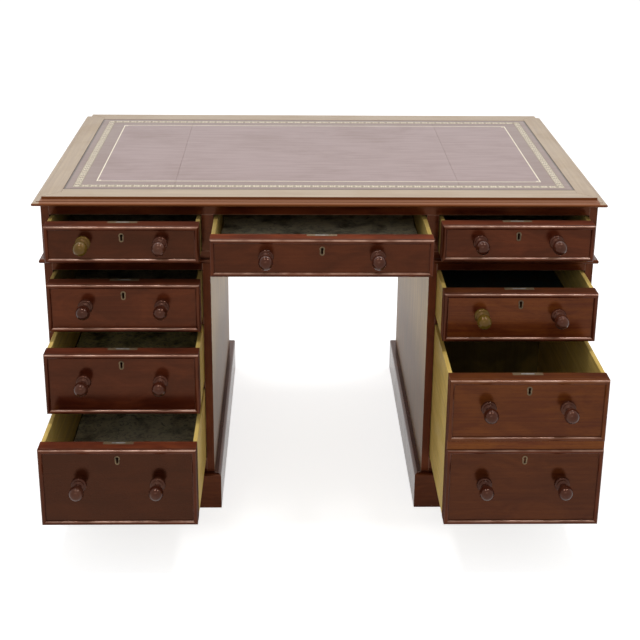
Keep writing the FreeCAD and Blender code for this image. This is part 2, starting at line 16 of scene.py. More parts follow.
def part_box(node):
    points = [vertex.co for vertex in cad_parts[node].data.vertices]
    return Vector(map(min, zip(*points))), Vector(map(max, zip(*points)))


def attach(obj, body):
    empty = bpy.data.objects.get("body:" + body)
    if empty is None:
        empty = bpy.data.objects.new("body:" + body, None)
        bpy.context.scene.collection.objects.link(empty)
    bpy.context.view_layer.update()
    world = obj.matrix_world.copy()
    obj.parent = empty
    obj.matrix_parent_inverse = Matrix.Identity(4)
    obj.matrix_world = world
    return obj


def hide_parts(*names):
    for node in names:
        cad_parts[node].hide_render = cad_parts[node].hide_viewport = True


bl_info = {
    "name": "Pedestal Desk",
    "version": (1, 0, 0),
    "blender": (4, 5, 0),
    "location": "3D View > Sidebar > Desk",
    "description": "Dresses a twin pedestal desk in mahogany, tooled leather, oak and brass",
    "category": "Object",
}

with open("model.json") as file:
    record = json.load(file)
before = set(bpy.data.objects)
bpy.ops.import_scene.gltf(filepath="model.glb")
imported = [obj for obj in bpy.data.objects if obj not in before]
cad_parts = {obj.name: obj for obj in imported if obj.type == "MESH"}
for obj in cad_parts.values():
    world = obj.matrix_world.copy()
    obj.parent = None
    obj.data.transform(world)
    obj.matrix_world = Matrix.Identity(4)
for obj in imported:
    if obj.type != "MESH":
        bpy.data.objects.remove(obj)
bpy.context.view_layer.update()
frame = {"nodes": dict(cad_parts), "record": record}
BODY_OF = {
    node: body for body, nodes in frame["record"]["behaviour"]["bodies"].items() for node in nodes
}
DRAWERS = sorted(node.removesuffix("_front") for node in frame["nodes"] if node.endswith("_front"))

X, Y, Z = range(3)

# Working rules for copies of the frame's solids
WELD_DIGITS = 7
FLAT_ANGLE = math.radians(1)
SHARP_ANGLE = math.radians(35)
SMOOTH_ANGLE = math.radians(40)

# How squarely a face looks along an axis before it counts as facing that way, how far up the front of a
# bead looks where it takes a painted highlight, and how much real wear a softened edge shows
RAW_FACING = 0.9
BEAD_HIGHLIGHT = (0.45, 0.97)
EDGE_WORN = 0.5

# Colour of what the polish mirrors, and the heights between which the painted glare on the kneehole's sides
# grows
POLISH_TINT = (1, 0.42, 0.24, 1)
GLARE_SPAN = (0.24, 0.47)

# Lengths and widths of the streaks and the pores in each wood
Figure = namedtuple("Figure", "streak_length streak_width pore_length pore_width")
CARCASS_FIGURE = Figure(0.26, 0.008, 0.012, 0.0006)
KNOB_FIGURE = Figure(0.05, 0.007, 0.006, 0.0005)
BORDER_FIGURE = Figure(0.22, 0.007, 0.012, 0.0007)
LINING_FIGURE = Figure(0.2, 0.006, 0.014, 0.0008)

# Shares of a knob's sizes: its base's lip, the groove below its ring, the ring's own height, the foot of
# its neck, how nearly its end closes and how full that end is
LIP_SHARE = 0.4
GROOVE_SHARES = (0.94, 0.06)
RING_SHARE = 0.9
NECK_FOOT_SHARE = 0.1
CLOSED_SHARE = 0.985
FULLNESS_SHARE = 0.85
BASE_STEPS = 6
RING_STEPS = 6
END_STEPS = 18
KNOB_SIDES = 48
KNOB_TONES = (0.9, 1.15)
GOLDEN_WARMTH = 0.9

# Screws in each lock; the shares of a screw's radius at its foot and its rim, and of its slot at its edge
SCREWS_PER_LOCK = 4
SCREW_FOOT_SHARE = 0.55
SCREW_RIM_SHARE = 0.97
SCREW_EDGE_SHARE = 0.1
SCREW_SIDES = 20

# Steps in the roll at a leather panel's edge, and the share of its depth that it turns down
ROLL_STEPS = 4
ROLL_DEPTH_SHARE = 0.7

# Leaves of a fleuron in the gilding
FLEURON_LEAVES = 8

# Points of a sheet of paper across and along its drawer, and how far its edges stray
PAPER_COLUMNS = 18
PAPER_ROWS = 30
PAPER_STRAY = (0.0012, 0.001)

# How light a board is beside the carcass, how golden, how dull, how much painted glare its faces along the
# desk take, and by what factor painted light and shade from above scale the brightness of its upward faces
Look = namedtuple("Look", "tone warmth dull fade lift", defaults=(0, 0, 1))
FRONT_LOOKS = {
    "left_frieze_drawer": Look(0.5, 0.05, lift=1.5),
    "centre_frieze_drawer": Look(0.8, 0.15, lift=1.9),
    "right_frieze_drawer": Look(1.16, 0.1),
    "left_upper_drawer": Look(1.05, 0.15),
    "left_middle_drawer": Look(0.85, 0.1, lift=1.3),
    "left_lower_drawer": Look(0.32, 0.15, lift=5.0),
    "right_upper_drawer": Look(1.4, 0.6, lift=0.45),
    "right_deep_drawer": Look(0.66, 0.45, lift=0.8),
}
DEEP_UPPER_LOOK = Look(1.05, 0.7)
FALSE_RAIL_LOOK = Look(1.4, 1.0)
BEAD_LOOK = Look(0.9, 0.1, 0.16)
PLAIN_LOOK = Look(0.9, 0.25)
# The kneehole's sides take the full painted glare
KNEEHOLE_LOOK = Look(1.1, 0.3, 0.4, 1.0)
OAK_LOOK = Look(1.0, 0)
# Painted shade: the shaded oak darkens the sides of the drawers listed below, and the darkest oak every
# drawer's back and bottom
SHADED_OAK_LOOK = Look(0.45, 0)
PAINTED_SHADE_OAK_LOOK = Look(0.18, 0)
SHADED_DRAWERS = (
    "left_frieze_drawer", "centre_frieze_drawer", "right_frieze_drawer", "left_upper_drawer"
)

# Which knob of a drawer is of golden wood, and the papers that aren't grey; the share of a drawer's
# length over which its paper stays lit, and the share over which painted shade then darkens it toward the
# back
GOLDEN_KNOBS = {"left_frieze_drawer": 0, "right_upper_drawer": 0}
PAPERS = {"left_middle_drawer": "marbled_paper", "right_upper_drawer": "blue_paper"}
LIT_PAPER_SHARES = {"centre_frieze_drawer": 0.3, "left_middle_drawer": 1, "left_lower_drawer": 1}
PAPER_SHADE_SHARE = 0.3


def length(label, description, default):
    """A length that a user may change."""
    return FloatProperty(name=label, description=description, default=default, unit="LENGTH", precision=5)


def colour(label, description, default):
    """A colour that a user may change, in linear values."""
    return FloatVectorProperty(
        name=label, description=description, default=default, subtype="COLOR", min=0, max=1
    )


class DeskSizes(bpy.types.PropertyGroup):
    """Sizes of what is added to the frame."""

    board_edge: length("Board Edge", "Rounding on the edges of boards", 0.0009)
    bead_edge: length("Bead Edge", "Rounding on the edges of the cock beads", 0.0004)
    brass_edge: length("Brass Edge", "Rounding on the edges of lock plates", 0.0003)
    shortest_edge: length("Shortest Edge", "Edges shorter than this stay sharp", 0.009)
    # Painted glare: the pale colour on the top's upward faces reaches down this far and, at the desk's ends,
    # over the moulding
    glare_depth: length("Glare Depth", "How far below its top the border is bleached", 0.0024)
    glare_end: length("Glare End", "Width of the bleached moulding at the desk's ends", 0.018)
    leather_drop: length("Leather Drop", "How far the leather lies below the border", 0.0003)
    leather_roll: length("Leather Roll", "Rounding where a panel turns down at its edge", 0.0014)
    leather_step: length("Leather Step", "Spacing of the leather's own points", 0.02)
    leather_wave: length("Leather Wave", "Height of the leather's unevenness", 0.00006)
    ground_height: length("Ground Height", "How far the band's ground stands above the leather", 0.00008)
    gilt_height: length("Gilt Height", "How far the gilding stands above the leather", 0.00020)
    band_inset: length("Band Inset", "From the edge of the leather to the middle of the gilt band", 0.0265)
    band_width: length("Band Width", "Between the two fillets of the gilt band", 0.0125)
    band_pitch: length("Band Pitch", "Spacing of the ornaments in the band", 0.0190)
    fillet: length("Fillet", "Width of the band's fillets", 0.0006)
    blind_line: length("Blind Line", "Width of the dark line on each side of the gilt band", 0.0026)
    # Painted shadow where the leather meets the border
    edge_shadow_line: length("Edge Shadow Line", "Width of the dark line along the leather's edge", 0.0045)
    line_inset: length("Line Inset", "From the edge of the leather to the inner gilt line", 0.066)
    line: length("Line", "Width of the inner gilt line", 0.0027)
    fleuron_inset: length("Fleuron Inset", "From the inner gilt line to the middle of its fleurons", 0.006)
    knob_projection: length("Knob Projection", "How far a knob stands out from its drawer", 0.054)
    knob_base: length("Knob Base", "Radius of a knob's base", 0.0165)
    knob_base_height: length("Knob Base Height", "Height of a knob's base", 0.007)
    knob_ring: length("Knob Ring", "Radius of the ring on a knob's base", 0.0130)
    knob_ring_height: length("Knob Ring Height", "Height of that ring", 0.0045)
    knob_neck: length("Knob Neck", "Radius of a knob's neck", 0.0085)
    knob_neck_height: length("Knob Neck Height", "Height of a knob's neck", 0.0102)
    knob_ball: length("Knob Ball", "Radius of a knob's rounded end", 0.01575)
    knob_swell: length("Knob Swell", "From the drawer to the widest part of a knob's end", 0.0378)
    screw_head: length("Screw Head", "Radius of a lock screw's head", 0.0026)
    screw_slot: length("Screw Slot", "Width and depth of the slot in a screw", 0.0007)
    paper: length("Paper", "Thickness of the drawers' lining paper", 0.0003)
    paper_margin: length("Paper Margin", "Between the lining paper and the drawer's sides", 0.003)
    paper_curl: length("Paper Curl", "How far the paper lifts at its edges", 0.0022)
    seed: IntProperty(name="Seed", description="Start of all that is random", default=7)


class DeskColours(bpy.types.PropertyGroup):
    """Colours of the desk's materials."""

    mahogany_dark: colour("Mahogany Dark", "Dark streaks of the polished wood", (0.030, 0.0045, 0.0022))
    mahogany: colour("Mahogany", "Body of the polished wood", (0.064, 0.0108, 0.0050))
    mahogany_light: colour("Mahogany Light", "Light streaks of the polished wood", (0.105, 0.0205, 0.0080))
    mahogany_gold: colour("Mahogany Gold", "Golden boards of the polished wood", (0.150, 0.0460, 0.0060))
    # Rubbed colour of real wear on edges and knobs, also used for painted highlights on the beads and the
    # moulding's upward faces
    mahogany_worn: colour("Mahogany Worn", "Edges where the polish is rubbed", (0.42, 0.23, 0.15))
    # Pale colour painted on the kneehole's sides as glare, strongest toward their top
    mahogany_glare: colour("Mahogany Glare", "Boards whose polish has gone pale", (0.95, 0.70, 0.26))
    knob: colour("Knob", "Knobs rubbed by hands", (0.036, 0.0085, 0.0040))
    knob_gold: colour("Knob Gold", "Knobs of a golden wood", (0.115, 0.070, 0.008))
    moulding: colour("Moulding", "Moulded edge of the top", (0.20, 0.062, 0.017))
    # Pale colours painted on the border's top as glare
    glare_dark: colour("Glare Dark", "Dark streaks of the sun-bleached border", (0.41, 0.312, 0.222))
    glare_light: colour("Glare Light", "Light streaks of the sun-bleached border", (0.53, 0.432, 0.318))
    leather: colour("Leather", "Body of the leather", (0.34, 0.226, 0.220))
    leather_dark: colour("Leather Dark", "Soiled parts of the leather", (0.27, 0.185, 0.165))
    leather_margin: colour("Leather Margin", "Browner leather outside the inner line", (0.28, 0.190, 0.160))
    # Painted shadow where the leather meets the border
    leather_edge_shadow: colour("Leather Edge Shadow", "Dark line where the leather meets the border", (0.07, 0.045, 0.03))
    band_ground: colour("Band Ground", "Tooled ground of the gilt band", (0.36, 0.295, 0.215))
    gilt: colour("Gilt", "Gold leaf of the tooling", (0.96, 0.87, 0.70))
    gilt_rubbed: colour("Gilt Rubbed", "Gold leaf that is nearly rubbed off", (0.72, 0.61, 0.45))
    oak_dark: colour("Oak Dark", "Dark streaks of the oak linings", (0.60, 0.405, 0.095))
    oak_light: colour("Oak Light", "Light streaks of the oak linings", (0.85, 0.620, 0.190))
    pine_dark: colour("Pine Dark", "Dark streaks of the pine", (0.26, 0.145, 0.06))
    pine_light: colour("Pine Light", "Light streaks of the pine", (0.45, 0.29, 0.13))
    paper: colour("Paper", "Plain lining paper of the drawers", (0.80, 0.75, 0.55))
    paper_marbled: colour("Paper Marbled", "Marbled lining paper", (0.80, 0.72, 0.36))
    paper_blue: colour("Paper Blue", "Lining paper of the right upper drawer", (0.07, 0.11, 0.12))
    # Painted shade at the back of a drawer: the share of colour that papers keep there
    paper_back_shade: colour("Paper Back Shade", "Share of colour that papers keep at the back", (0.4, 0.36, 0.3))
    paper_stain: colour("Paper Stain", "Old stains on the lining papers", (0.10, 0.075, 0.04))
    brass: colour("Brass", "Rubbed brass", (0.20, 0.138, 0.078))
    brass_dull: colour("Brass Dull", "Tarnished brass", (0.085, 0.060, 0.034))
    steel: colour("Steel", "Bare steel", (0.36, 0.35, 0.34))
    steel_dull: colour("Steel Dull", "Browned steel", (0.13, 0.10, 0.08))
    floor: colour("Floor", "Pale floor", (0.78, 0.78, 0.78))


class DeskStage(bpy.types.PropertyGroup):
    """Camera, lamps and surroundings."""

    lens: FloatProperty(name="Lens", description="Focal length in millimetres", default=71.773)
    lens_shift: FloatProperty(
        name="Lens Shift", description="How far the frame lies above the lens axis, as a share of its width",
        default=-0.1,
    )
    camera_place: FloatVectorProperty(
        name="Camera Place", description="Where the camera stands", unit="LENGTH",
        default=(-0.0675, -2.90525, 1.5882),
    )
    camera_pitch: FloatProperty(
        name="Camera Pitch", description="How far the camera looks down", subtype="ANGLE",
        default=math.radians(19.609),
    )
    camera_yaw: FloatProperty(
        name="Camera Yaw", description="How far the camera looks to the right", subtype="ANGLE",
        default=math.radians(1.434),
    )
    camera_roll: FloatProperty(
        name="Camera Roll", description="How far the camera leans", subtype="ANGLE",
        default=math.radians(0.556),
    )
    ambient: FloatProperty(name="Ambient", description="Light from all round", default=0.47)
    overhead: FloatVectorProperty(
        name="Overhead", description="Power in watts of a ceiling lamp in the front row and in the back row",
        size=2, default=(15, 6),
    )
    lamp_length: length("Lamp Length", "Length of a ceiling lamp along the desk", 0.5)
    lamp_width: length("Lamp Width", "Width of a ceiling lamp across the desk", 0.3)
    lamp_height: length("Lamp Height", "Height of the ceiling lamps", 3.0)
    lamp_back: FloatVectorProperty(
        name="Lamp Back", description="How far the two rows of ceiling lamps hang behind the desk's middle",
        unit="LENGTH", size=2, default=(-0.6, 1.0),
    )
    lamp_row: FloatVectorProperty(
        name="Lamp Row", description="Where the ceiling lamps hang along the desk", unit="LENGTH",
        size=2, default=(-0.75, 1.0),
    )
    front: FloatProperty(name="Front", description="Front lamp's power in watts", default=16)
    front_place: FloatVectorProperty(
        name="Front Place", description="Where the front lamp hangs", unit="LENGTH", default=(-0.4, -4.2, 2.6)
    )
    front_target: FloatVectorProperty(
        name="Front Target", description="Where the front lamp points", unit="LENGTH", default=(0, -0.2, 0.4)
    )
    front_size: FloatVectorProperty(
        name="Front Size", description="Length and width of the front lamp", unit="LENGTH",
        size=2, default=(2.4, 1.6),
    )
    floor_size: length("Floor Size", "Length of the floor's sides", 16.0)
    floor_glow: FloatProperty(name="Floor Glow", description="Lift that makes the floor white", default=0.76)
    mirror_glow: FloatProperty(name="Mirror Glow", description="That lift where it is mirrored", default=0.5)


class Nodes:
    """Adds nodes to one tree and hands back their outputs."""

    def __init__(self, tree):
        self.tree = tree

    def add(self, kind, inputs=None, **settings):
        """A node with its settings made and its inputs joined or set."""
        node = self.tree.nodes.new(kind)
        for name, value in settings.items():
            setattr(node, name, value)
        for name, value in (inputs or {}).items():
            self.feed(node.inputs[name], value)
        return node

    def feed(self, socket, value):
        """Joins an output to a socket, or sets the socket's own value."""
        if isinstance(value, bpy.types.NodeSocket):
            self.tree.links.new(value, socket)
        elif socket.type == "RGBA":
            socket.default_value = (*value, 1)
        else:
            socket.default_value = value

    def attribute(self, name, output="Fac"):
        """What the mesh itself carries at each place."""
        node = self.add("ShaderNodeAttribute", attribute_type="GEOMETRY", attribute_name=name)
        return node.outputs[output]

    def parts(self, vector):
        """A vector's X, Y and Z."""
        return self.add("ShaderNodeSeparateXYZ", {0: vector}).outputs

    def maths(self, operation, *values):
        inputs = dict(enumerate(values))
        return self.add("ShaderNodeMath", inputs, operation=operation).outputs[0]

    def noise(self, vector, scale, detail=2.0, roughness=0.5, distortion=0.0):
        inputs = {
            "Vector": vector, "Scale": scale, "Detail": detail,
            "Roughness": roughness, "Distortion": distortion,
        }
        return self.add("ShaderNodeTexNoise", inputs).outputs["Fac"]

    def spread(self, value, low, high, to_low=0.0, to_high=1.0):
        """A value's range from low to high, stretched over another range and held there."""
        inputs = {
            "Value": value, "From Min": low, "From Max": high, "To Min": to_low, "To Max": to_high,
        }
        return self.add("ShaderNodeMapRange", inputs, interpolation_type="SMOOTHSTEP").outputs["Result"]

    def mix(self, factor, first, second, blend="MIX"):
        node = self.add("ShaderNodeMix", data_type="RGBA", blend_type=blend)
        self.feed(node.inputs["Factor"], factor)
        self.feed(node.inputs[6], first)
        self.feed(node.inputs[7], second)
        return node.outputs[2]

    def stretched(self, vector, along, across):
        """The vector in units of a length along the grain and a length across it."""
        share_along = self.maths("DIVIDE", 1.0, along)
        share_across = self.maths("DIVIDE", 1.0, across)
        shares = self.add("ShaderNodeCombineXYZ", {"X": share_along, "Y": share_across, "Z": share_across})
        inputs = {0: vector, 1: shares.outputs[0]}
        return self.add("ShaderNodeVectorMath", inputs, operation="MULTIPLY").outputs[0]

    def place(self, group, **inputs):
        """A shared effect's outputs, with the effect's inputs joined or set."""
        named = {name.replace("_", " ").title(): value for name, value in inputs.items()}
        return self.add("ShaderNodeGroup", named, node_tree=group).outputs


def built_once(name):
    """Marks a function that builds a node tree, so that the tree is built only the first time."""
    def keep(build):
        return lambda: bpy.data.node_groups.get(name) or build(name)
    return keep


def shader_group(name, inputs, outputs):
    """An empty shared effect with named sockets, and the nodes that hold them."""
    group = bpy.data.node_groups.new(name, "ShaderNodeTree")
    for label, kind in inputs.items():
        group.interface.new_socket(label, in_out="INPUT", socket_type=kind)
    for label in outputs:
        group.interface.new_socket(label, in_out="OUTPUT", socket_type="NodeSocketFloat")
    nodes = Nodes(group)
    return nodes, nodes.add("NodeGroupInput").outputs, nodes.add("NodeGroupOutput").inputs


@built_once("Wood figure")
def wood_figure(name):
    """Streaks, clouds and pores that run with the grain."""
    number = "NodeSocketFloat"
    nodes, given, results = shader_group(
        name,
        {
            "Grain": "NodeSocketVector", "Streak Length": number, "Streak Width": number,
            "Pore Length": number, "Pore Width": number,
        },
        ("Streaks", "Clouds", "Pores"),
    )
    grain = given["Grain"]
    long_grain = nodes.stretched(grain, given["Streak Length"], given["Streak Width"])
    streaks = nodes.noise(long_grain, 1.0, detail=5.0, roughness=0.62, distortion=0.5)
    nodes.feed(results["Streaks"], nodes.spread(streaks, 0.28, 0.72))
    wide_grain = nodes.stretched(grain, along=0.13, across=0.055)
    clouds = nodes.noise(wide_grain, 1.0, detail=3.0, roughness=0.55, distortion=0.8)
    nodes.feed(results["Clouds"], nodes.spread(clouds, 0.32, 0.68))
    pore_grain = nodes.stretched(grain, given["Pore Length"], given["Pore Width"])
    nodes.feed(results["Pores"], nodes.spread(nodes.noise(pore_grain, 1.0, detail=1.0), 0.58, 0.72))
    return nodes.tree


@built_once("Edge wear and highlight")
def wear_and_highlight_edges(name):
    """Broken wear along the edges that a board's attribute marks, and broken painted highlights on the beads
    that the same attribute marks.
    """
    number = "NodeSocketFloat"
    nodes, given, results = shader_group(
        name, {"Worn": number, "Vector": "NodeSocketVector", "Scale": number}, ("Mask",)
    )
    patches = nodes.noise(given["Vector"], given["Scale"], detail=3.0)
    broken = nodes.spread(patches, 0.35, 0.65, 0.35, 1.0)
    nodes.feed(results["Mask"], nodes.maths("MULTIPLY", given["Worn"], broken))
    return nodes.tree


@built_once("Soiling")
def soiling(name):
    """Soft blotches of handling, dust and old stains."""
    number = "NodeSocketFloat"
    nodes, given, results = shader_group(
        name, {"Vector": "NodeSocketVector", "Scale": number, "Cover": number}, ("Mask",)
    )
    blotches = nodes.noise(given["Vector"], given["Scale"], detail=5.0, roughness=0.62, distortion=0.4)
    spots = nodes.spread(blotches, 0.42, 0.72)
    nodes.feed(results["Mask"], nodes.maths("MULTIPLY", spots, given["Cover"]))
    return nodes.tree


def new_material(name, specular, coat=0.0, coat_roughness=0.1):
    """A material with its one shader, and the nodes to feed it."""
    material = bpy.data.materials.new(name)
    material.use_nodes = True
    shader = material.node_tree.nodes["Principled BSDF"]
    shader.inputs["Specular IOR Level"].default_value = specular
    shader.inputs["Coat Weight"].default_value = coat
    shader.inputs["Coat Roughness"].default_value = coat_roughness
    return material, shader.inputs, Nodes(material.node_tree)


def raise_surface(nodes, shader, height, distance):
    """Gives the shader a bump from a height."""
    bump = nodes.add("ShaderNodeBump", {"Height": height, "Distance": distance, "Strength": 1.0})
    nodes.feed(shader["Normal"], bump.outputs["Normal"])


def object_place(nodes):
    return nodes.add("ShaderNodeTexCoord").outputs["Object"]


def board_grain(nodes):
    return nodes.attribute("grain", "Vector")


def turned_grain(nodes):
    """Grain that runs along Y, for what is turned on a lathe."""
    parts = nodes.parts(object_place(nodes))
    return nodes.add("ShaderNodeCombineXYZ", {0: parts["Y"], 1: parts["X"], 2: parts["Z"]}).outputs[0]


def mahogany_colour(nodes, colours, figure):
    """Polished mahogany: streaks from dark to light, clouded, golden on some boards, with dark pores."""
    streaks = nodes.maths("MULTIPLY", nodes.maths("ADD", figure["Streaks"], figure["Clouds"]), 0.5)
    low = nodes.mix(streaks, colours.mahogany_dark, colours.mahogany)
    high = nodes.mix(streaks, colours.mahogany, colours.mahogany_light)
    wood = nodes.mix(figure["Clouds"], low, high)
    golden = nodes.mix(streaks, colours.mahogany, colours.mahogany_gold)
    wood = nodes.mix(nodes.attribute("warmth"), wood, golden)
    return nodes.mix(nodes.maths("MULTIPLY", figure["Pores"], 0.5), wood, colours.mahogany_dark)


def finish_wood(nodes, shader, wood, figure, soil, polish, height):
    """Joins a wood's colour, roughness and pores to its shader; unpolished faces are dull."""
    nodes.feed(shader["Base Color"], wood)
    rough = nodes.spread(figure["Streaks"], 0.0, 1.0, polish, 1.4 * polish)
    rough = nodes.maths("ADD", rough, nodes.maths("MULTIPLY", soil, polish))
    nodes.feed(shader["Roughness"], nodes.maths("MAXIMUM", rough, nodes.attribute("dull")))
    relief = nodes.maths("SUBTRACT", nodes.maths("MULTIPLY", figure["Streaks"], 0.3), figure["Pores"])
    raise_surface(nodes, shader, relief, height)


def tinted(nodes, wood, tone):
    """A wood lightened or darkened by its board's own tone."""
    return nodes.add("ShaderNodeHueSaturation", {"Color": wood, "Value": tone}).outputs[0]


def make_mahogany(colours, name):
    """Dark polished mahogany of the carcass and the drawer fronts, with painted light on upward faces,
    painted highlights on the beads and painted glare on the kneehole's sides.
    """
    material, shader, nodes = new_material(name, specular=0.5, coat_roughness=0.2)
    shader["Specular Tint"].default_value = POLISH_TINT
    grain = board_grain(nodes)
    figure = nodes.place(wood_figure(), grain=grain, **CARCASS_FIGURE._asdict())
    wood = mahogany_colour(nodes, colours, figure)
    # Painted light from above: each front's upward faces are scaled by their own factor
    tone = nodes.maths("MULTIPLY", nodes.attribute("tone"), nodes.attribute("lift"))
    wood = tinted(nodes, wood, tone)
    worn = nodes.place(wear_and_highlight_edges(), worn=nodes.attribute("worn"), vector=grain, scale=25.0)
    # Real wear on softened edges, and painted highlights on the beads' upper fronts
    wood = nodes.mix(nodes.maths("MULTIPLY", worn["Mask"], 0.8), wood, colours.mahogany_worn)
    # Painted glare: the kneehole's sides grow paler toward their top, standing in for the white surroundings
    # that they mirror
    glare_colour = nodes.mix(figure["Streaks"], wood, colours.mahogany_glare)
    glare_colour = nodes.mix(0.6, glare_colour, colours.mahogany_glare)
    place = object_place(nodes)
    by_height = nodes.spread(nodes.parts(place)["Z"], *GLARE_SPAN, 0.2, 1.0)
    fade = nodes.maths("MULTIPLY", nodes.attribute("fade"), by_height)
    wood = nodes.mix(fade, wood, glare_colour)
    nodes.feed(shader["Coat Weight"], worn["Mask"])
    soil = nodes.place(soiling(), vector=place, scale=9.0, cover=0.5)["Mask"]
    finish_wood(nodes, shader, wood, figure, soil, polish=0.11, height=0.00001)
    return material


def make_turned_mahogany(colours, name):
    """Mahogany of the knobs, rubbed brighter by hands."""
    material, shader, nodes = new_material(name, specular=0.35, coat=0.2, coat_roughness=0.05)
    shader["Specular Tint"].default_value = POLISH_TINT
    figure = nodes.place(wood_figure(), grain=turned_grain(nodes), **KNOB_FIGURE._asdict())
    wood = nodes.mix(0.75, mahogany_colour(nodes, colours, figure), colours.knob)
    wood = tinted(nodes, wood, nodes.attribute("tone"))
    soil = nodes.place(soiling(), vector=object_place(nodes), scale=16.0, cover=0.08)["Mask"]
    wood = nodes.mix(soil, wood, colours.mahogany_worn)
    wood = nodes.mix(nodes.attribute("warmth"), wood, colours.knob_gold)
    finish_wood(nodes, shader, wood, figure, soil, polish=0.1, height=0.00001)
    return material


def make_glared_mahogany(colours, name):
    """The border of the top: painted glare makes it pale where it faces up; it is dark at its moulded edge,
    whose upward faces carry painted light.
    """
    material, shader, nodes = new_material(name, specular=0.3)
    shader["Specular Tint"].default_value = POLISH_TINT
    figure = nodes.place(wood_figure(), grain=board_grain(nodes), **BORDER_FIGURE._asdict())
    dark = nodes.mix(0.7, mahogany_colour(nodes, colours, figure), colours.moulding)
    glare_colour = nodes.mix(figure["Streaks"], colours.glare_dark, colours.glare_light)
    glare_colour = nodes.mix(nodes.maths("MULTIPLY", figure["Pores"], 0.35), glare_colour, colours.glare_dark)
    facing = nodes.parts(nodes.add("ShaderNodeNewGeometry").outputs["Normal"])
    place = object_place(nodes)
    parts = nodes.parts(place)
    sizes = bpy.context.scene.desk_sizes
    low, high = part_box("top_border")
    depth = sizes.glare_depth
    # Painted glare on upward faces near the top, and at the desk's ends on the moulding's upward faces too
    level = nodes.spread(parts["Z"], high.z - depth, high.z - depth / 2)
    away = nodes.maths("ABSOLUTE", nodes.maths("SUBTRACT", parts["X"], (low.x + high.x) / 2))
    end = (high.x - low.x) / 2 - sizes.glare_end
    level = nodes.maths("MAXIMUM", level, nodes.spread(away, end, end + depth))
    upward = nodes.spread(facing["Z"], 0.6, 0.9)
    glared = nodes.maths("MULTIPLY", upward, level)
    # Painted light from above: the moulding's upward faces take some of the light rubbed colour
    dark = nodes.mix(nodes.maths("MULTIPLY", upward, 0.4), dark, colours.mahogany_worn)
    soil = nodes.place(soiling(), vector=place, scale=7.0, cover=0.45)["Mask"]
    glare_colour = nodes.mix(nodes.maths("MULTIPLY", soil, 0.5), glare_colour, colours.glare_dark)
    wood = nodes.mix(glared, dark, glare_colour)
    finish_wood(nodes, shader, wood, figure, soil, polish=0.3, height=0.00005)
    return material


def make_plain_wood(name, dark, light):
    """Unpolished oak or pine inside the desk."""
    material, shader, nodes = new_material(name, specular=0.3)
    figure = nodes.place(wood_figure(), grain=board_grain(nodes), **LINING_FIGURE._asdict())
    wood = nodes.mix(figure["Streaks"], dark, light)
    wood = nodes.mix(nodes.maths("MULTIPLY", figure["Pores"], 0.5), wood, dark)
    wood = tinted(nodes, wood, nodes.attribute("tone"))
    soil = nodes.place(soiling(), vector=object_place(nodes), scale=6.0, cover=0.8)["Mask"]
    wood = nodes.mix(nodes.maths("MULTIPLY", soil, 0.5), wood, dark)
    finish_wood(nodes, shader, wood, figure, soil, polish=0.5, height=0.00008)
    return material


def make_oak(colours, name):
    """Oak of the drawer linings."""
    return make_plain_wood(name, colours.oak_dark, colours.oak_light)


def make_pine(colours, name):
    """Pine of the dust boards and the ground panel."""
    return make_plain_wood(name, colours.pine_dark, colours.pine_light)


def leather_margin(nodes, place, inset, blur):
    """One nearer to the edge of the leather than an inset, nothing further in."""
    low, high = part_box("leather_panels")
    middle = (low + high) / 2
    parts = nodes.parts(place)
    margin = 0.0
    for axis, label in ((X, "X"), (Y, "Y")):
        line = (high[axis] - low[axis]) / 2 - inset
        away = nodes.maths("ABSOLUTE", nodes.maths("SUBTRACT", parts[label], middle[axis]))
        margin = nodes.maths("MAXIMUM", margin, nodes.spread(away, line - blur, line + blur))
    return margin


def make_leather(colours, name):
    """Old hide with a fine grain, soft streaks and rubbed patches."""
    material, shader, nodes = new_material(name, specular=0.4, coat=0.25, coat_roughness=0.3)
    place = object_place(nodes)
    long_hide = nodes.stretched(place, along=0.12, across=0.012)
    streaks = nodes.noise(long_hide, 1.0, detail=4.0, roughness=0.6, distortion=0.3)
    soil = nodes.place(soiling(), vector=place, scale=5.0, cover=0.8)["Mask"]
    shade = nodes.maths("MULTIPLY", nodes.maths("ADD", nodes.spread(streaks, 0.3, 0.7), soil), 0.5)
    sizes = bpy.context.scene.desk_sizes
    margin = leather_margin(nodes, place, sizes.line_inset, sizes.line / 2)
    # Painted shadow along the leather's edge, where it meets the border
    edge = leather_margin(nodes, place, sizes.edge_shadow_line, sizes.edge_shadow_line / 2)
    hide = nodes.mix(margin, colours.leather, colours.leather_margin)
    hide = nodes.mix(shade, hide, colours.leather_dark)
    nodes.feed(shader["Base Color"], nodes.mix(edge, hide, colours.leather_edge_shadow))
    nodes.feed(shader["Roughness"], nodes.spread(shade, 0.0, 1.0, 0.36, 0.5))
    cells = nodes.add("ShaderNodeTexVoronoi", {"Vector": place, "Scale": 900.0}).outputs["Distance"]
    grain = nodes.maths("ADD", cells, nodes.noise(place, scale=350.0, detail=3.0))
    raise_surface(nodes, shader, grain, distance=0.00004)
    return material


def make_band_ground(colours, name):
    """Leather that heated tools have pressed and darkened."""
    material, shader, nodes = new_material(name, specular=0.3)
    place = object_place(nodes)
    rubbed = nodes.place(soiling(), vector=place, scale=60.0, cover=0.7)["Mask"]
    nodes.feed(shader["Base Color"], nodes.mix(rubbed, colours.band_ground, colours.leather_dark))
    nodes.feed(shader["Roughness"], nodes.spread(rubbed, 0.0, 0.6, 0.45, 0.6))
    raise_surface(nodes, shader, nodes.noise(place, scale=900.0), distance=0.00002)
    return material


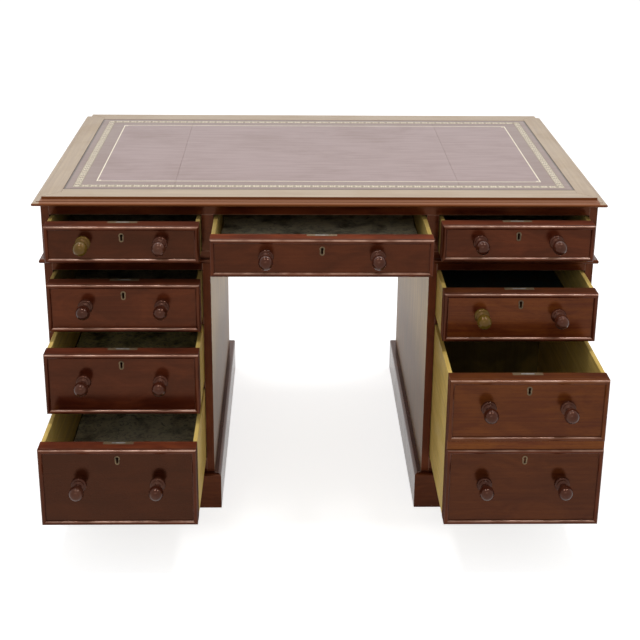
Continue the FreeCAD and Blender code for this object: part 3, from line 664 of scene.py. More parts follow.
def make_gilt(colours, name):
    """Gold leaf, rubbed away in places."""
    material, shader, nodes = new_material(name, specular=0.5)
    place = object_place(nodes)
    rubbed = nodes.place(soiling(), vector=place, scale=45.0, cover=0.6)["Mask"]
    nodes.feed(shader["Base Color"], nodes.mix(rubbed, colours.gilt, colours.gilt_rubbed))
    nodes.feed(shader["Metallic"], nodes.spread(rubbed, 0.0, 0.6, 0.25, 0.1))
    nodes.feed(shader["Roughness"], nodes.spread(rubbed, 0.0, 0.6, 0.36, 0.5))
    raise_surface(nodes, shader, nodes.noise(place, scale=900.0), distance=0.00002)
    return material


def make_metal(name, bright, dull):
    """Old metal, bright where it is rubbed and dull elsewhere."""
    material, shader, nodes = new_material(name, specular=0.5)
    place = object_place(nodes)
    tarnish = nodes.place(soiling(), vector=place, scale=70.0, cover=0.9)["Mask"]
    scratches = nodes.noise(nodes.stretched(place, along=0.012, across=0.0006), 1.0)
    nodes.feed(shader["Base Color"], nodes.mix(tarnish, bright, dull))
    nodes.feed(shader["Metallic"], nodes.spread(tarnish, 0.0, 1.0, 0.8, 0.4))
    nodes.feed(shader["Roughness"], nodes.spread(tarnish, 0.0, 1.0, 0.6, 0.8))
    raise_surface(nodes, shader, scratches, distance=0.00002)
    return material


def make_brass(colours, name):
    """Brass of the locks and escutcheons."""
    return make_metal(name, colours.brass, colours.brass_dull)


def make_steel(colours, name):
    """Steel of the lock bolts."""
    return make_metal(name, colours.steel, colours.steel_dull)


def make_paper(colours, name, body):
    """Old lining paper, foxed and marbled, darkened toward the back of its drawer by painted shade."""
    material, shader, nodes = new_material(name, specular=0.2)
    place = object_place(nodes)
    stains = nodes.place(soiling(), vector=place, scale=18.0, cover=0.8)["Mask"]
    veins = nodes.noise(place, scale=55.0, detail=6.0, roughness=0.7, distortion=1.5)
    dark = tuple(0.45 * value for value in body)
    paper = nodes.mix(nodes.spread(veins, 0.3, 0.55), dark, body)
    paper = nodes.mix(stains, paper, colours.paper_stain)
    # Painted shade, deepening toward the back of the drawer
    back_shaded = nodes.mix(1.0, paper, colours.paper_back_shade, blend="MULTIPLY")
    nodes.feed(shader["Base Color"], nodes.mix(nodes.attribute("depth"), paper, back_shaded))
    nodes.feed(shader["Roughness"], nodes.spread(veins, 0.0, 1.0, 0.65, 0.9))
    raise_surface(nodes, shader, veins, distance=0.0001)
    return material


def make_grey_paper(colours, name):
    """Grey-green lining paper."""
    return make_paper(colours, name, colours.paper)


def make_marbled_paper(colours, name):
    """Olive lining paper."""
    return make_paper(colours, name, colours.paper_marbled)


def make_blue_paper(colours, name):
    """Blue-green lining paper."""
    return make_paper(colours, name, colours.paper_blue)


MATERIAL_MAKERS = {
    "mahogany": make_mahogany,
    "turned_mahogany": make_turned_mahogany,
    "glared_mahogany": make_glared_mahogany,
    "oak": make_oak,
    "pine": make_pine,
    "leather": make_leather,
    "gilt": make_gilt,
    "brass": make_brass,
    "steel": make_steel,
    "band_ground": make_band_ground,
    "grey_paper": make_grey_paper,
    "marbled_paper": make_marbled_paper,
    "blue_paper": make_blue_paper,
}


def material_named(name):
    """A material of the desk, made the first time it is asked for."""
    made = bpy.data.materials.get("desk_" + name)
    return made or MATERIAL_MAKERS[name](bpy.context.scene.desk_colours, "desk_" + name)


def closed_solids(node):
    """A CAD node's triangles, gathered into its closed solids in the order they are stored."""
    mesh = frame["nodes"][node].data
    places = [tuple(round(value, WELD_DIGITS) for value in vertex.co) for vertex in mesh.vertices]
    solids = []
    triangles = []
    open_edges = set()
    for polygon in mesh.polygons:
        corners = [places[index] for index in polygon.vertices]
        for start, end in zip(corners, corners[1:] + corners[:1]):
            if (end, start) in open_edges:
                open_edges.remove((end, start))
            else:
                open_edges.add((start, end))
        triangles.append(corners)
        if not open_edges:
            solids.append(triangles)
            triangles = []
    return solids


def corners_of(triangles):
    """Lowest and highest corner of a solid."""
    points = [point for triangle in triangles for point in triangle]
    low = Vector(min(point[axis] for point in points) for axis in range(3))
    high = Vector(max(point[axis] for point in points) for axis in range(3))
    return low, high


def merged_shape(triangles):
    """A solid with its triangles welded and its flat faces made whole."""
    shape = bmesh.new()
    made = {}
    for triangle in triangles:
        for point in triangle:
            if point not in made:
                made[point] = shape.verts.new(point)
        if len(set(triangle)) == 3:
            shape.faces.new([made[point] for point in triangle])
    bmesh.ops.dissolve_limit(shape, angle_limit=FLAT_ANGLE, verts=shape.verts, edges=shape.edges)
    return shape


def soften(shape, width, shortest):
    """Rounds the long, sharp outer edges of a solid and marks the new faces as rubbed by wear."""
    worn = shape.faces.layers.float.new("worn")
    edges = [
        edge for edge in shape.edges
        if edge.is_convex and edge.calc_face_angle(0) > SHARP_ANGLE and edge.calc_length() > shortest
    ]
    made = bmesh.ops.bevel(
        shape, geom=edges, offset=width, offset_type="OFFSET", segments=2, profile=0.6,
        affect="EDGES", clamp_overlap=False,
    )
    for face in made["faces"]:
        face[worn] = EDGE_WORN


def paint_bead_highlights(shape):
    """Paints a highlight on the upper front of each bead, in the layer that also holds edge wear."""
    worn = shape.faces.layers.float["worn"]
    for face in shape.faces:
        if BEAD_HIGHLIGHT[0] < face.normal.z < BEAD_HIGHLIGHT[1] and face.normal.y < 0:
            face[worn] = 1


def lay_grain(shape, along, look, draw, raw_axes):
    """Stores where each point of a board lies along and across its grain, and the board's own look.

    Faces that look along a raw axis are unpolished, those that look up take painted light from above, and
    only faces that look along the desk take painted glare.
    """
    grain = shape.verts.layers.float_vector.new("grain")
    lightness = shape.verts.layers.float.new("tone")
    golden = shape.verts.layers.float.new("warmth")
    glare_layer = shape.faces.layers.float.new("fade")
    dull = shape.faces.layers.float.new("dull")
    lift = shape.faces.layers.float.new("lift")
    sizes = [max(v.co[axis] for v in shape.verts) - min(v.co[axis] for v in shape.verts) for axis in range(3)]
    if along is None:
        along = sizes.index(max(sizes))
    across, through = sorted((axis for axis in range(3) if axis != along), key=lambda axis: -sizes[axis])
    shift = Vector((draw.uniform(0, 9), draw.uniform(0, 9), draw.uniform(0, 9)))
    own_tone = look.tone * draw.uniform(0.95, 1.05)
    for vert in shape.verts:
        vert[grain] = Vector((vert.co[along], vert.co[across], vert.co[through])) + shift
        vert[lightness] = own_tone
        vert[golden] = look.warmth
    for face in shape.faces:
        raw = any(abs(face.normal[axis]) > RAW_FACING for axis in raw_axes)
        face[dull] = 1 if raw else look.dull
        face[glare_layer] = look.fade if abs(face.normal.x) > RAW_FACING else 0
        # Upward faces take painted light from above
        face[lift] = look.lift if face.normal.z > RAW_FACING else 1


def smooth(piece):
    """Smooth curves between sharp edges."""
    piece.data.shade_smooth()
    piece.data.set_sharp_from_angle(angle=SMOOTH_ANGLE)


def even_shading(piece):
    """Smooth curves beside flat faces."""
    smooth(piece)
    modifier = piece.modifiers.new("Even shading", "WEIGHTED_NORMAL")
    modifier.keep_sharp = True


def add_piece(name, mesh, body, material, nodes=()):
    """Puts a finished mesh in the scene, riding on its body and standing for its CAD nodes."""
    mesh.name = name
    mesh.materials.clear()
    mesh.materials.append(material_named(material))
    piece = bpy.data.objects.new(name, mesh)
    bpy.context.scene.collection.objects.link(piece)
    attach(piece, body)
    if nodes:
        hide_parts(*nodes)
    return piece


def worked_copy(
    node, name, material, edge, along=None, look=PLAIN_LOOK, solids=None, boards=(), raw_axes=()
):
    """A copy of a CAD node with its edges softened and its grain laid, in place of the node.

    Boards gives the first solids' own ways along the grain and their looks; the rest share one.
    """
    sizes = bpy.context.scene.desk_sizes
    draw = random.Random(f"{sizes.seed} {node}")
    whole = bmesh.new()
    for index, triangles in enumerate(solids or closed_solids(node)):
        shape = merged_shape(triangles)
        soften(shape, edge, sizes.shortest_edge)
        own_along, own_look = boards[index] if index < len(boards) else (along, look)
        shape.normal_update()
        if own_look is BEAD_LOOK:
            paint_bead_highlights(shape)
        lay_grain(shape, own_along, own_look, draw, raw_axes)
        part = bpy.data.meshes.new(name)
        shape.to_mesh(part)
        shape.free()
        whole.from_mesh(part)
        bpy.data.meshes.remove(part)
    mesh = bpy.data.meshes.new(name)
    whole.to_mesh(mesh)
    whole.free()
    piece = add_piece(name, mesh, BODY_OF[node], material, [node])
    even_shading(piece)
    return piece


def box_shape(shape, low, high):
    """Adds a closed box to a shape."""
    size = [b - a for a, b in zip(low, high)]
    middle = [(a + b) / 2 for a, b in zip(low, high)]
    turn = Matrix.Translation(middle) @ Matrix.Diagonal((*size, 1))
    bmesh.ops.create_cube(shape, size=1, matrix=turn)


def prism(shape, outline, low, high):
    """Adds a closed prism over a flat outline that runs anticlockwise seen from above."""
    lower = [shape.verts.new((x, y, low)) for x, y in outline]
    upper = [shape.verts.new((x, y, high)) for x, y in outline]
    shape.faces.new(upper)
    shape.faces.new(lower[::-1])
    count = len(outline)
    for index in range(count):
        after = (index + 1) % count
        shape.faces.new((lower[index], lower[after], upper[after], upper[index]))


def lathe(shape, profile, sides):
    """Turns a profile of radii and heights about Z, closed at both ends."""
    rings = []
    for radius, height in profile:
        ring = []
        for step in range(sides):
            angle = step * math.tau / sides
            ring.append(shape.verts.new((radius * math.cos(angle), radius * math.sin(angle), height)))
        rings.append(ring)
    for below, above in zip(rings, rings[1:]):
        for step in range(sides):
            after = (step + 1) % sides
            shape.faces.new((below[step], below[after], above[after], above[step]))
    shape.faces.new(rings[0][::-1])
    shape.faces.new(rings[-1])


def mesh_from(shape, name):
    mesh = bpy.data.meshes.new(name)
    shape.to_mesh(mesh)
    shape.free()
    return mesh


def points_mesh(name, places, facings=(), edges=()):
    """A mesh of bare points, with the way each one faces."""
    mesh = bpy.data.meshes.new(name)
    mesh.from_pydata(places, edges, [])
    if facings:
        facing = mesh.attributes.new("facing", "FLOAT_VECTOR", "POINT")
        facing.data.foreach_set("vector", [value for vector in facings for value in vector])
    return mesh


def geometry_tree(name, inputs):
    """An empty Geometry Nodes tree with named inputs."""
    tree = bpy.data.node_groups.new(name, "GeometryNodeTree")
    tree.interface.new_socket("Geometry", in_out="INPUT", socket_type="NodeSocketGeometry")
    for label, kind in inputs.items():
        tree.interface.new_socket(label, in_out="INPUT", socket_type=kind)
    tree.interface.new_socket("Geometry", in_out="OUTPUT", socket_type="NodeSocketGeometry")
    nodes = Nodes(tree)
    return nodes, nodes.add("NodeGroupInput").outputs, nodes.add("NodeGroupOutput").inputs


def finish_tree(nodes, results, points, rotation, pattern, material):
    """Ends a tree: the pattern set on the points, made real and given its material."""
    pattern_mesh = nodes.add("GeometryNodeObjectInfo", {"Object": pattern}).outputs["Geometry"]
    inputs = {"Points": points, "Instance": pattern_mesh, "Rotation": rotation}
    placed = nodes.add("GeometryNodeInstanceOnPoints", inputs).outputs[0]
    real = nodes.add("GeometryNodeRealizeInstances", {"Geometry": placed}).outputs[0]
    finished = nodes.add("GeometryNodeSetMaterial", {"Geometry": real, "Material": material}).outputs[0]
    nodes.feed(results["Geometry"], finished)
    return nodes.tree


@built_once("Set on points")
def set_on_points(name):
    """A tree that sets a pattern on points, facing as they face and twisted by chance."""
    nodes, given, results = geometry_tree(name, {
        "Pattern": "NodeSocketObject", "Material": "NodeSocketMaterial",
        "Twist": "NodeSocketFloat", "Seed": "NodeSocketInt",
    })
    facing = nodes.add("GeometryNodeInputNamedAttribute", {"Name": "facing"}, data_type="FLOAT_VECTOR")
    aligned = nodes.add("FunctionNodeAlignRotationToVector", {"Vector": facing.outputs[0]}, axis="Z")
    chance = nodes.add("FunctionNodeRandomValue", {"Seed": given["Seed"]}, data_type="FLOAT")
    nodes.feed(chance.inputs[2], nodes.maths("MULTIPLY", given["Twist"], -1.0))
    nodes.feed(chance.inputs[3], given["Twist"])
    twist = nodes.add("FunctionNodeAxisAngleToRotation", {"Axis": (0, 0, 1), "Angle": chance.outputs[1]})
    turned = nodes.add(
        "FunctionNodeRotateRotation",
        {"Rotation": aligned.outputs[0], "Rotate By": twist.outputs[0]}, rotation_space="LOCAL",
    )
    return finish_tree(
        nodes, results, given["Geometry"], turned.outputs[0], given["Pattern"], given["Material"]
    )


@built_once("Set along lines")
def set_along_lines(name):
    """A tree that repeats a pattern along lines at an even pitch."""
    nodes, given, results = geometry_tree(name, {
        "Pattern": "NodeSocketObject", "Material": "NodeSocketMaterial", "Pitch": "NodeSocketFloat",
    })
    lines = nodes.add("GeometryNodeMeshToCurve", {"Mesh": given["Geometry"]}).outputs[0]
    spaced = nodes.add(
        "GeometryNodeResampleCurve", {"Curve": lines, "Length": given["Pitch"]}, mode="LENGTH"
    ).outputs[0]
    along = nodes.add("GeometryNodeInputTangent").outputs[0]
    aligned = nodes.add("FunctionNodeAlignRotationToVector", {"Vector": along}, axis="X").outputs[0]
    return finish_tree(nodes, results, spaced, aligned, given["Pattern"], given["Material"])


def grown_mesh(name, tree, base, **inputs):
    """Runs a tree on a base mesh and gives back the result as a plain mesh."""
    carrier = bpy.data.objects.new(name, base)
    bpy.context.scene.collection.objects.link(carrier)
    modifier = carrier.modifiers.new("Grow", "NODES")
    modifier.node_group = tree
    sockets = {item.name: item.identifier for item in tree.interface.items_tree if item.in_out == "INPUT"}
    for label, value in inputs.items():
        modifier[sockets[label.title()]] = value
    view = bpy.context.evaluated_depsgraph_get()
    mesh = bpy.data.meshes.new_from_object(
        carrier.evaluated_get(view), preserve_all_data_layers=True, depsgraph=view
    )
    bpy.data.objects.remove(carrier)
    bpy.data.meshes.remove(base)
    return mesh


def pattern_object(name, mesh):
    """A shape to be repeated by a tree; it is removed once the tree has run."""
    return bpy.data.objects.new(name, mesh)


def remove_pattern(pattern):
    mesh = pattern.data
    bpy.data.objects.remove(pattern)
    bpy.data.meshes.remove(mesh)


class DESK_OT_border(bpy.types.Operator):
    """Makes the moulded border of the top, pale on top with painted glare"""

    bl_idname = "desk.border"
    bl_label = "Top Border"

    def execute(self, context):
        edge = context.scene.desk_sizes.board_edge
        worked_copy("top_border", "border", "glared_mahogany", edge)
        worked_copy("top_ground_panel", "ground_panel", "pine", edge, along=X)
        return {"FINISHED"}


def leather_level(x, y, sizes):
    """Height of the leather's slight unevenness."""
    slow = math.sin(9.1 * x + 1.3) * math.sin(7.3 * y + 0.4)
    quick = math.sin(23.7 * x + 5.1 * y) * math.sin(19.9 * y - 6.3 * x)
    return sizes.leather_wave * (0.6 * slow + 0.4 * quick)


def stations(low, high, roll, step):
    """Places across a panel: close together where it turns down at its edges."""
    turns = [step / ROLL_STEPS * math.pi / 2 for step in range(ROLL_STEPS + 1)]
    inset = [roll * (1 - math.cos(turn)) for turn in turns]
    count = max(2, round((high - low - 2 * roll) / step))
    middle = [low + roll + (high - low - 2 * roll) * index / count for index in range(1, count)]
    return [low + value for value in inset] + middle + [high - value for value in reversed(inset)]


def leather_panel(shape, low, high, sizes):
    """One panel of leather, rolled down at its edges and slightly uneven."""
    roll = sizes.leather_roll
    across = stations(low.x, high.x, roll, sizes.leather_step)
    along = stations(low.y, high.y, roll, sizes.leather_step)
    surface = high.z - sizes.leather_drop
    rows = []
    for y in along:
        row = []
        for x in across:
            inside = min(x - low.x, high.x - x, y - low.y, high.y - y, roll)
            turn = roll - math.sqrt(max(0.0, roll ** 2 - (roll - inside) ** 2))
            level = surface - ROLL_DEPTH_SHARE * turn + leather_level(x, y, sizes)
            row.append(shape.verts.new((x, y, max(level, low.z))))
        rows.append(row)
    for back, front in zip(rows[1:], rows):
        for index in range(len(across) - 1):
            shape.faces.new((front[index], front[index + 1], back[index + 1], back[index]))
    rim = rows[0] + [row[-1] for row in rows[1:]] + rows[-1][-2::-1] + [row[0] for row in rows[-2:0:-1]]
    foot = [shape.verts.new((vert.co.x, vert.co.y, low.z)) for vert in rim]
    for index in range(len(rim)):
        after = (index + 1) % len(rim)
        shape.faces.new((rim[after], rim[index], foot[index], foot[after]))
    shape.faces.new(foot[::-1])


class DESK_OT_leather(bpy.types.Operator):
    """Lays the three leather panels in the top"""

    bl_idname = "desk.leather"
    bl_label = "Leather"

    def execute(self, context):
        shape = bmesh.new()
        for triangles in closed_solids("leather_panels"):
            leather_panel(shape, *corners_of(triangles), context.scene.desk_sizes)
        mesh = mesh_from(shape, "leather")
        piece = add_piece("leather", mesh, "carcass", "leather", ["leather_panels"])
        smooth(piece)
        return {"FINISHED"}


def petal(shape, start, end, width, angle, low, high):
    """One leaf of an ornament, pointing away from its middle."""
    belly = start + 0.42 * (end - start)
    outline = [(start, 0), (belly, -width / 2), (end, 0), (belly, width / 2)]
    turn = Matrix.Rotation(angle, 2)
    prism(shape, [turn @ Vector(point) for point in outline], low, high)


def flower(shape, radius, low, high, sides=6):
    outline = []
    for step in range(sides):
        angle = step * math.tau / sides
        outline.append((radius * math.cos(angle), radius * math.sin(angle)))
    prism(shape, outline, low, high)


def band_ornament(sizes):
    """A leafy flower that fills one pitch of the gilt band."""
    shape = bmesh.new()
    low = -sizes.gilt_height
    high = sizes.gilt_height
    half = sizes.band_width / 2 - sizes.fillet
    reach = sizes.band_pitch / 2
    flower(shape, 0.12 * reach, low, high)
    for degrees in (38, 142, 218, 322):
        petal(shape, 0.2 * reach, 1.02 * reach, 0.46 * half, math.radians(degrees), low, high)
    for degrees in (90, 270):
        petal(shape, 0.22 * half, 0.86 * half, 0.5 * half, math.radians(degrees), low, high)
    for degrees in (0, 180):
        petal(shape, 0.24 * reach, 0.98 * reach, 0.36 * half, math.radians(degrees), low, high)
    return mesh_from(shape, "band_ornament")


def gilt_frame(shape, middle, half, width, level, height):
    """A mitred rectangle of gilding, four strips wide enough to see."""
    outer = [half[0] + width / 2, half[1] + width / 2]
    inner = [half[0] - width / 2, half[1] - width / 2]
    signs = ((-1, -1), (1, -1), (1, 1), (-1, 1))
    for index in range(4):
        here = signs[index]
        after = signs[(index + 1) % 4]
        outline = [
            (middle.x + here[0] * outer[0], middle.y + here[1] * outer[1]),
            (middle.x + after[0] * outer[0], middle.y + after[1] * outer[1]),
            (middle.x + after[0] * inner[0], middle.y + after[1] * inner[1]),
            (middle.x + here[0] * inner[0], middle.y + here[1] * inner[1]),
        ]
        prism(shape, outline, level - height, level + height)


class DESK_OT_tooling(bpy.types.Operator):
    """Gilds the leather with a leafy band, its fillets and an inner line"""

    bl_idname = "desk.tooling"
    bl_label = "Gilt Tooling"

    def execute(self, context):
        sizes = context.scene.desk_sizes
        low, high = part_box("leather_panels")
        middle = (low + high) / 2
        reach = (high - low) / 2
        level = high.z - sizes.leather_drop
        band = [reach[axis] - sizes.band_inset for axis in (X, Y)]
        ends = [value - sizes.band_pitch for value in band]
        places = []
        for sign in (-1, 1):
            for start in (-1, 1):
                places.append((middle.x + start * ends[0], middle.y - sign * band[1], level))
            for start in (-1, 1):
                places.append((middle.x + sign * band[0], middle.y + start * ends[1], level))
        edges = [(index, index + 1) for index in range(0, len(places), 2)]
        ornament = pattern_object("band_ornament", band_ornament(sizes))
        lines = points_mesh("band_lines", places, edges=edges)
        gilding = material_named("gilt")
        leaves = grown_mesh(
            "band_leaves", set_along_lines(), lines,
            pattern=ornament, material=gilding, pitch=sizes.band_pitch,
        )
        remove_pattern(ornament)
        shape = bmesh.new()
        shape.from_mesh(leaves)
        bpy.data.meshes.remove(leaves)
        ground = bmesh.new()
        gilt_frame(ground, middle, band, sizes.band_width + 2 * sizes.blind_line, level, sizes.ground_height)
        add_piece("band_ground", mesh_from(ground, "band_ground"), "carcass", "band_ground")
        for side in (-1, 1):
            half = [value + side * sizes.band_width / 2 for value in band]
            gilt_frame(shape, middle, half, sizes.fillet, level, sizes.gilt_height)
        half = [reach[axis] - sizes.line_inset for axis in (X, Y)]
        gilt_frame(shape, middle, half, sizes.line, level, sizes.gilt_height)
        for x_side in (-1, 1):
            for y_side in (-1, 1):
                self.corner(shape, middle, (x_side, y_side), band, half, level, sizes)
        add_piece("gilt_tooling", mesh_from(shape, "gilt_tooling"), "carcass", "gilt")
        return {"FINISHED"}

    @staticmethod
    def corner(shape, middle, signs, band, line, level, sizes):
        """A fleuron in a corner of the band and a smaller one inside the line."""
        low = level - sizes.gilt_height
        high = level + sizes.gilt_height
        places = ((band, 0.5 * sizes.band_width, 0), (line, 0.3 * sizes.band_width, sizes.fleuron_inset))
        for half, size, inset in places:
            ornament = bmesh.new()
            flower(ornament, 0.2 * size, low, high)
            for step in range(FLEURON_LEAVES):
                petal(ornament, 0.28 * size, size, 0.42 * size, step * math.tau / FLEURON_LEAVES, low, high)
            x = middle.x + signs[0] * (half[0] - inset)
            y = middle.y + signs[1] * (half[1] - inset)
            bmesh.ops.translate(ornament, verts=ornament.verts, vec=(x, y, 0))
            mesh = mesh_from(ornament, "fleuron")
            shape.from_mesh(mesh)
            bpy.data.meshes.remove(mesh)


class DESK_OT_carcass(bpy.types.Operator):
    """Makes the frieze, the pedestals, the waist boards and the plinths"""

    bl_idname = "desk.carcass"
    bl_label = "Carcass"

    def execute(self, context):
        edge = context.scene.desk_sizes.board_edge
        show = [
            "frieze_front_rails", "frieze_end_panels", "frieze_back_panel", "frieze_dividers", "waist_boards"
        ]
        runners = ["frieze_runners"]
        upright = []
        sides = [(Z, KNEEHOLE_LOOK), (Z, PLAIN_LOOK)]
        for side in ("left", "right"):
            show += [f"{side}_pedestal_rails", f"{side}_plinth"]
            upright.append(f"{side}_pedestal_back")
            runners.append(f"{side}_pedestal_runners")
            node = f"{side}_pedestal_sides"
            worked_copy(node, node + "_boards", "mahogany", edge, boards=sides)
        for node in show:
            worked_copy(node, node + "_boards", "mahogany", edge)
        for node in upright:
            worked_copy(node, node + "_boards", "mahogany", edge, along=Z)
        for node in runners:
            worked_copy(node, node + "_boards", "oak", edge)
        worked_copy("frieze_dust_boards", "frieze_dust_boards_boards", "pine", edge)
        return {"FINISHED"}


def change_look_above(piece, height, look):
    """Gives the points of a piece above a height another look."""
    heights = [vertex.co.z for vertex in piece.data.vertices]
    for label, value in (("tone", look.tone), ("warmth", look.warmth)):
        values = piece.data.attributes[label].data
        for index, z in enumerate(heights):
            if z > height:
                values[index].value = value


class DESK_OT_fronts(bpy.types.Operator):
    """Makes the drawer fronts with their cock beads"""

    bl_idname = "desk.fronts"
    bl_label = "Drawer Fronts"

    def execute(self, context):
        sizes = context.scene.desk_sizes
        for drawer in DRAWERS:
            node = drawer + "_front"
            look = FRONT_LOOKS[drawer]
            solids = closed_solids(node)
            boards = [(X, look)]
            deep = drawer == "right_deep_drawer"
            if deep:
                boards.append((X, FALSE_RAIL_LOOK))
            piece = worked_copy(
                node, drawer + "_face", "mahogany", sizes.bead_edge,
                look=BEAD_LOOK, solids=solids, boards=boards, raw_axes=(X, Z),
            )
            if deep:
                change_look_above(piece, corners_of(solids[1])[1].z, DEEP_UPPER_LOOK)
        return {"FINISHED"}


class DESK_OT_linings(bpy.types.Operator):
    """Makes the oak sides, backs and bottoms of the drawers"""

    bl_idname = "desk.linings"
    bl_label = "Drawer Linings"

    def execute(self, context):
        edge = context.scene.desk_sizes.board_edge
        for drawer in DRAWERS:
            # Painted shade darkens the sides of some drawers and every drawer's back and bottom
            look = SHADED_OAK_LOOK if drawer in SHADED_DRAWERS else OAK_LOOK
            node = drawer + "_linings"
            sides = [(None, look), (None, look)]
            worked_copy(node, drawer + "_oak", "oak", edge, look=PAINTED_SHADE_OAK_LOOK, boards=sides)
        return {"FINISHED"}


def paper_sheet(low, high, thickness, curl, pale, draw):
    """A sheet of paper, flat in its middle, lifted unevenly at its edges and darkened toward the back by
    painted shade.
    """
    shape = bmesh.new()
    depth = shape.verts.layers.float.new("depth")
    phases = [draw.uniform(0, math.tau) for _ in range(4)]
    layers = []
    for layer in range(2):
        grid = []
        for row in range(PAPER_ROWS + 1):
            line = []
            for column in range(PAPER_COLUMNS + 1):
                across = column / PAPER_COLUMNS
                along = row / PAPER_ROWS
                edge = max(abs(2 * across - 1), abs(2 * along - 1)) ** 10
                ripple = math.sin(11 * along + phases[0]) + math.sin(17 * across + phases[1])
                wave = 0.5 + 0.25 * ripple
                aside = PAPER_STRAY[0] * math.sin(31 * along + phases[2]) * (2 * across - 1) ** 9
                ahead = PAPER_STRAY[1] * math.sin(23 * across + phases[3]) * (2 * along - 1) ** 9
                x = low.x + across * (high.x - low.x) + aside
                y = low.y + along * (high.y - low.y) + ahead
                vert = shape.verts.new((x, y, low.z + curl * edge * wave + layer * thickness))
                # How far into the painted shade at the back this point lies
                vert[depth] = min(1, max(0, (along - pale) / PAPER_SHADE_SHARE))
                line.append(vert)
            grid.append(line)
        layers.append(grid)
    for grid, upward in zip(layers, (False, True)):
        for near, far in zip(grid, grid[1:]):
            for column in range(PAPER_COLUMNS):
                face = [near[column], near[column + 1], far[column + 1], far[column]]
                shape.faces.new(face if upward else face[::-1])
    for grid_line in ("front", "right", "back", "left"):
        lower = rim_line(layers[0], grid_line)
        upper = rim_line(layers[1], grid_line)
        for index in range(len(lower) - 1):
            shape.faces.new((lower[index], lower[index + 1], upper[index + 1], upper[index]))
    return shape


def rim_line(grid, side):
    """One edge of a grid of points, in the order that faces outwards."""
    if side == "front":
        return grid[0]
    if side == "right":
        return [row[-1] for row in grid]
    if side == "back":
        return grid[-1][::-1]
    return [row[0] for row in grid[::-1]]


class DESK_OT_papers(bpy.types.Operator):
    """Lays lining paper in the drawers"""

    bl_idname = "desk.papers"
    bl_label = "Lining Papers"

    def execute(self, context):
        sizes = context.scene.desk_sizes
        for drawer in DRAWERS:
            draw = random.Random(f"{sizes.seed} {drawer} paper")
            node = drawer + "_linings"
            left, right, back, bottom = (corners_of(solid) for solid in closed_solids(node))
            margin = sizes.paper_margin
            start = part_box(drawer + "_front")[1].y
            low = Vector((left[1].x + margin, start + margin, bottom[1].z + sizes.paper))
            high = Vector((right[0].x - margin, back[0].y - margin, low.z))
            shape = paper_sheet(low, high, sizes.paper, sizes.paper_curl, LIT_PAPER_SHARES.get(drawer, 0), draw)
            material = PAPERS.get(drawer, "grey_paper")
            piece = add_piece(drawer + "_paper", mesh_from(shape, "paper"), BODY_OF[node], material)
            smooth(piece)
        return {"FINISHED"}


def knob_profile(sizes):
    """Radii and heights of a turned knob, from its base to its rounded end."""
    ring_half = sizes.knob_ring_height / 2
    ring_middle = sizes.knob_base_height + ring_half
    neck_low = sizes.knob_base_height + sizes.knob_ring_height
    neck_high = neck_low + sizes.knob_neck_height
    lip = LIP_SHARE * sizes.knob_base_height
    shoulder = sizes.knob_base - sizes.knob_ring
    profile = [(sizes.knob_base, 0), (sizes.knob_base, lip)]
    for step in range(1, BASE_STEPS + 1):
        angle = step / BASE_STEPS * math.pi / 2
        out = sizes.knob_base - shoulder * (1 - math.cos(angle))
        profile.append((out, lip + (sizes.knob_base_height - lip) * math.sin(angle)))
    groove = GROOVE_SHARES[1] * sizes.knob_ring_height
    profile.append((GROOVE_SHARES[0] * sizes.knob_ring, sizes.knob_base_height + groove))
    for step in range(RING_STEPS + 1):
        angle = (step / RING_STEPS - 0.5) * math.pi
        radius = sizes.knob_ring - ring_half * (1 - math.cos(angle))
        profile.append((radius, ring_middle + RING_SHARE * ring_half * math.sin(angle)))
    profile.append((sizes.knob_neck, neck_low + NECK_FOOT_SHARE * sizes.knob_neck_height))
    start = -math.acos(sizes.knob_neck / sizes.knob_ball)
    near = (sizes.knob_swell - neck_high) / math.sin(-start)
    far = sizes.knob_projection - sizes.knob_swell
    for step in range(END_STEPS + 1):
        angle = start + (CLOSED_SHARE * math.pi / 2 - start) * step / END_STEPS
        reach = near if angle < 0 else far
        fullness = 1 if angle < 0 else FULLNESS_SHARE
        radius = sizes.knob_ball * math.cos(angle) ** fullness
        profile.append((radius, sizes.knob_swell + reach * math.sin(angle)))
    return profile


class DESK_OT_knobs(bpy.types.Operator):
    """Sets a turned knob at each place on the drawers"""

    bl_idname = "desk.knobs"
    bl_label = "Knobs"

    def execute(self, context):
        sizes = context.scene.desk_sizes
        shape = bmesh.new()
        lathe(shape, knob_profile(sizes), KNOB_SIDES)
        pattern = pattern_object("knob", mesh_from(shape, "knob"))
        draw = random.Random(f"{sizes.seed} knobs")
        for drawer in DRAWERS:
            node = drawer + "_knobs"
            places = []
            for triangles in closed_solids(node):
                low, high = corners_of(triangles)
                middle = (low + high) / 2
                places.append((middle.x, low.y + sizes.knob_projection, middle.z))
            points = points_mesh(node, places, [(0, -1, 0)] * len(places))
            for label in ("tone", "warmth"):
                points.attributes.new(label, "FLOAT", "POINT")
            for index in range(len(places)):
                golden = GOLDEN_KNOBS.get(drawer) == index
                points.attributes["tone"].data[index].value = draw.uniform(*KNOB_TONES)
                points.attributes["warmth"].data[index].value = GOLDEN_WARMTH if golden else 0
            mesh = grown_mesh(
                node, set_on_points(), points, pattern=pattern, material=material_named("turned_mahogany"),
                twist=math.pi, seed=sizes.seed,
            )
            name = drawer + "_turnings"
            piece = add_piece(name, mesh, BODY_OF[node], "turned_mahogany", [node])
            smooth(piece)
        remove_pattern(pattern)
        return {"FINISHED"}


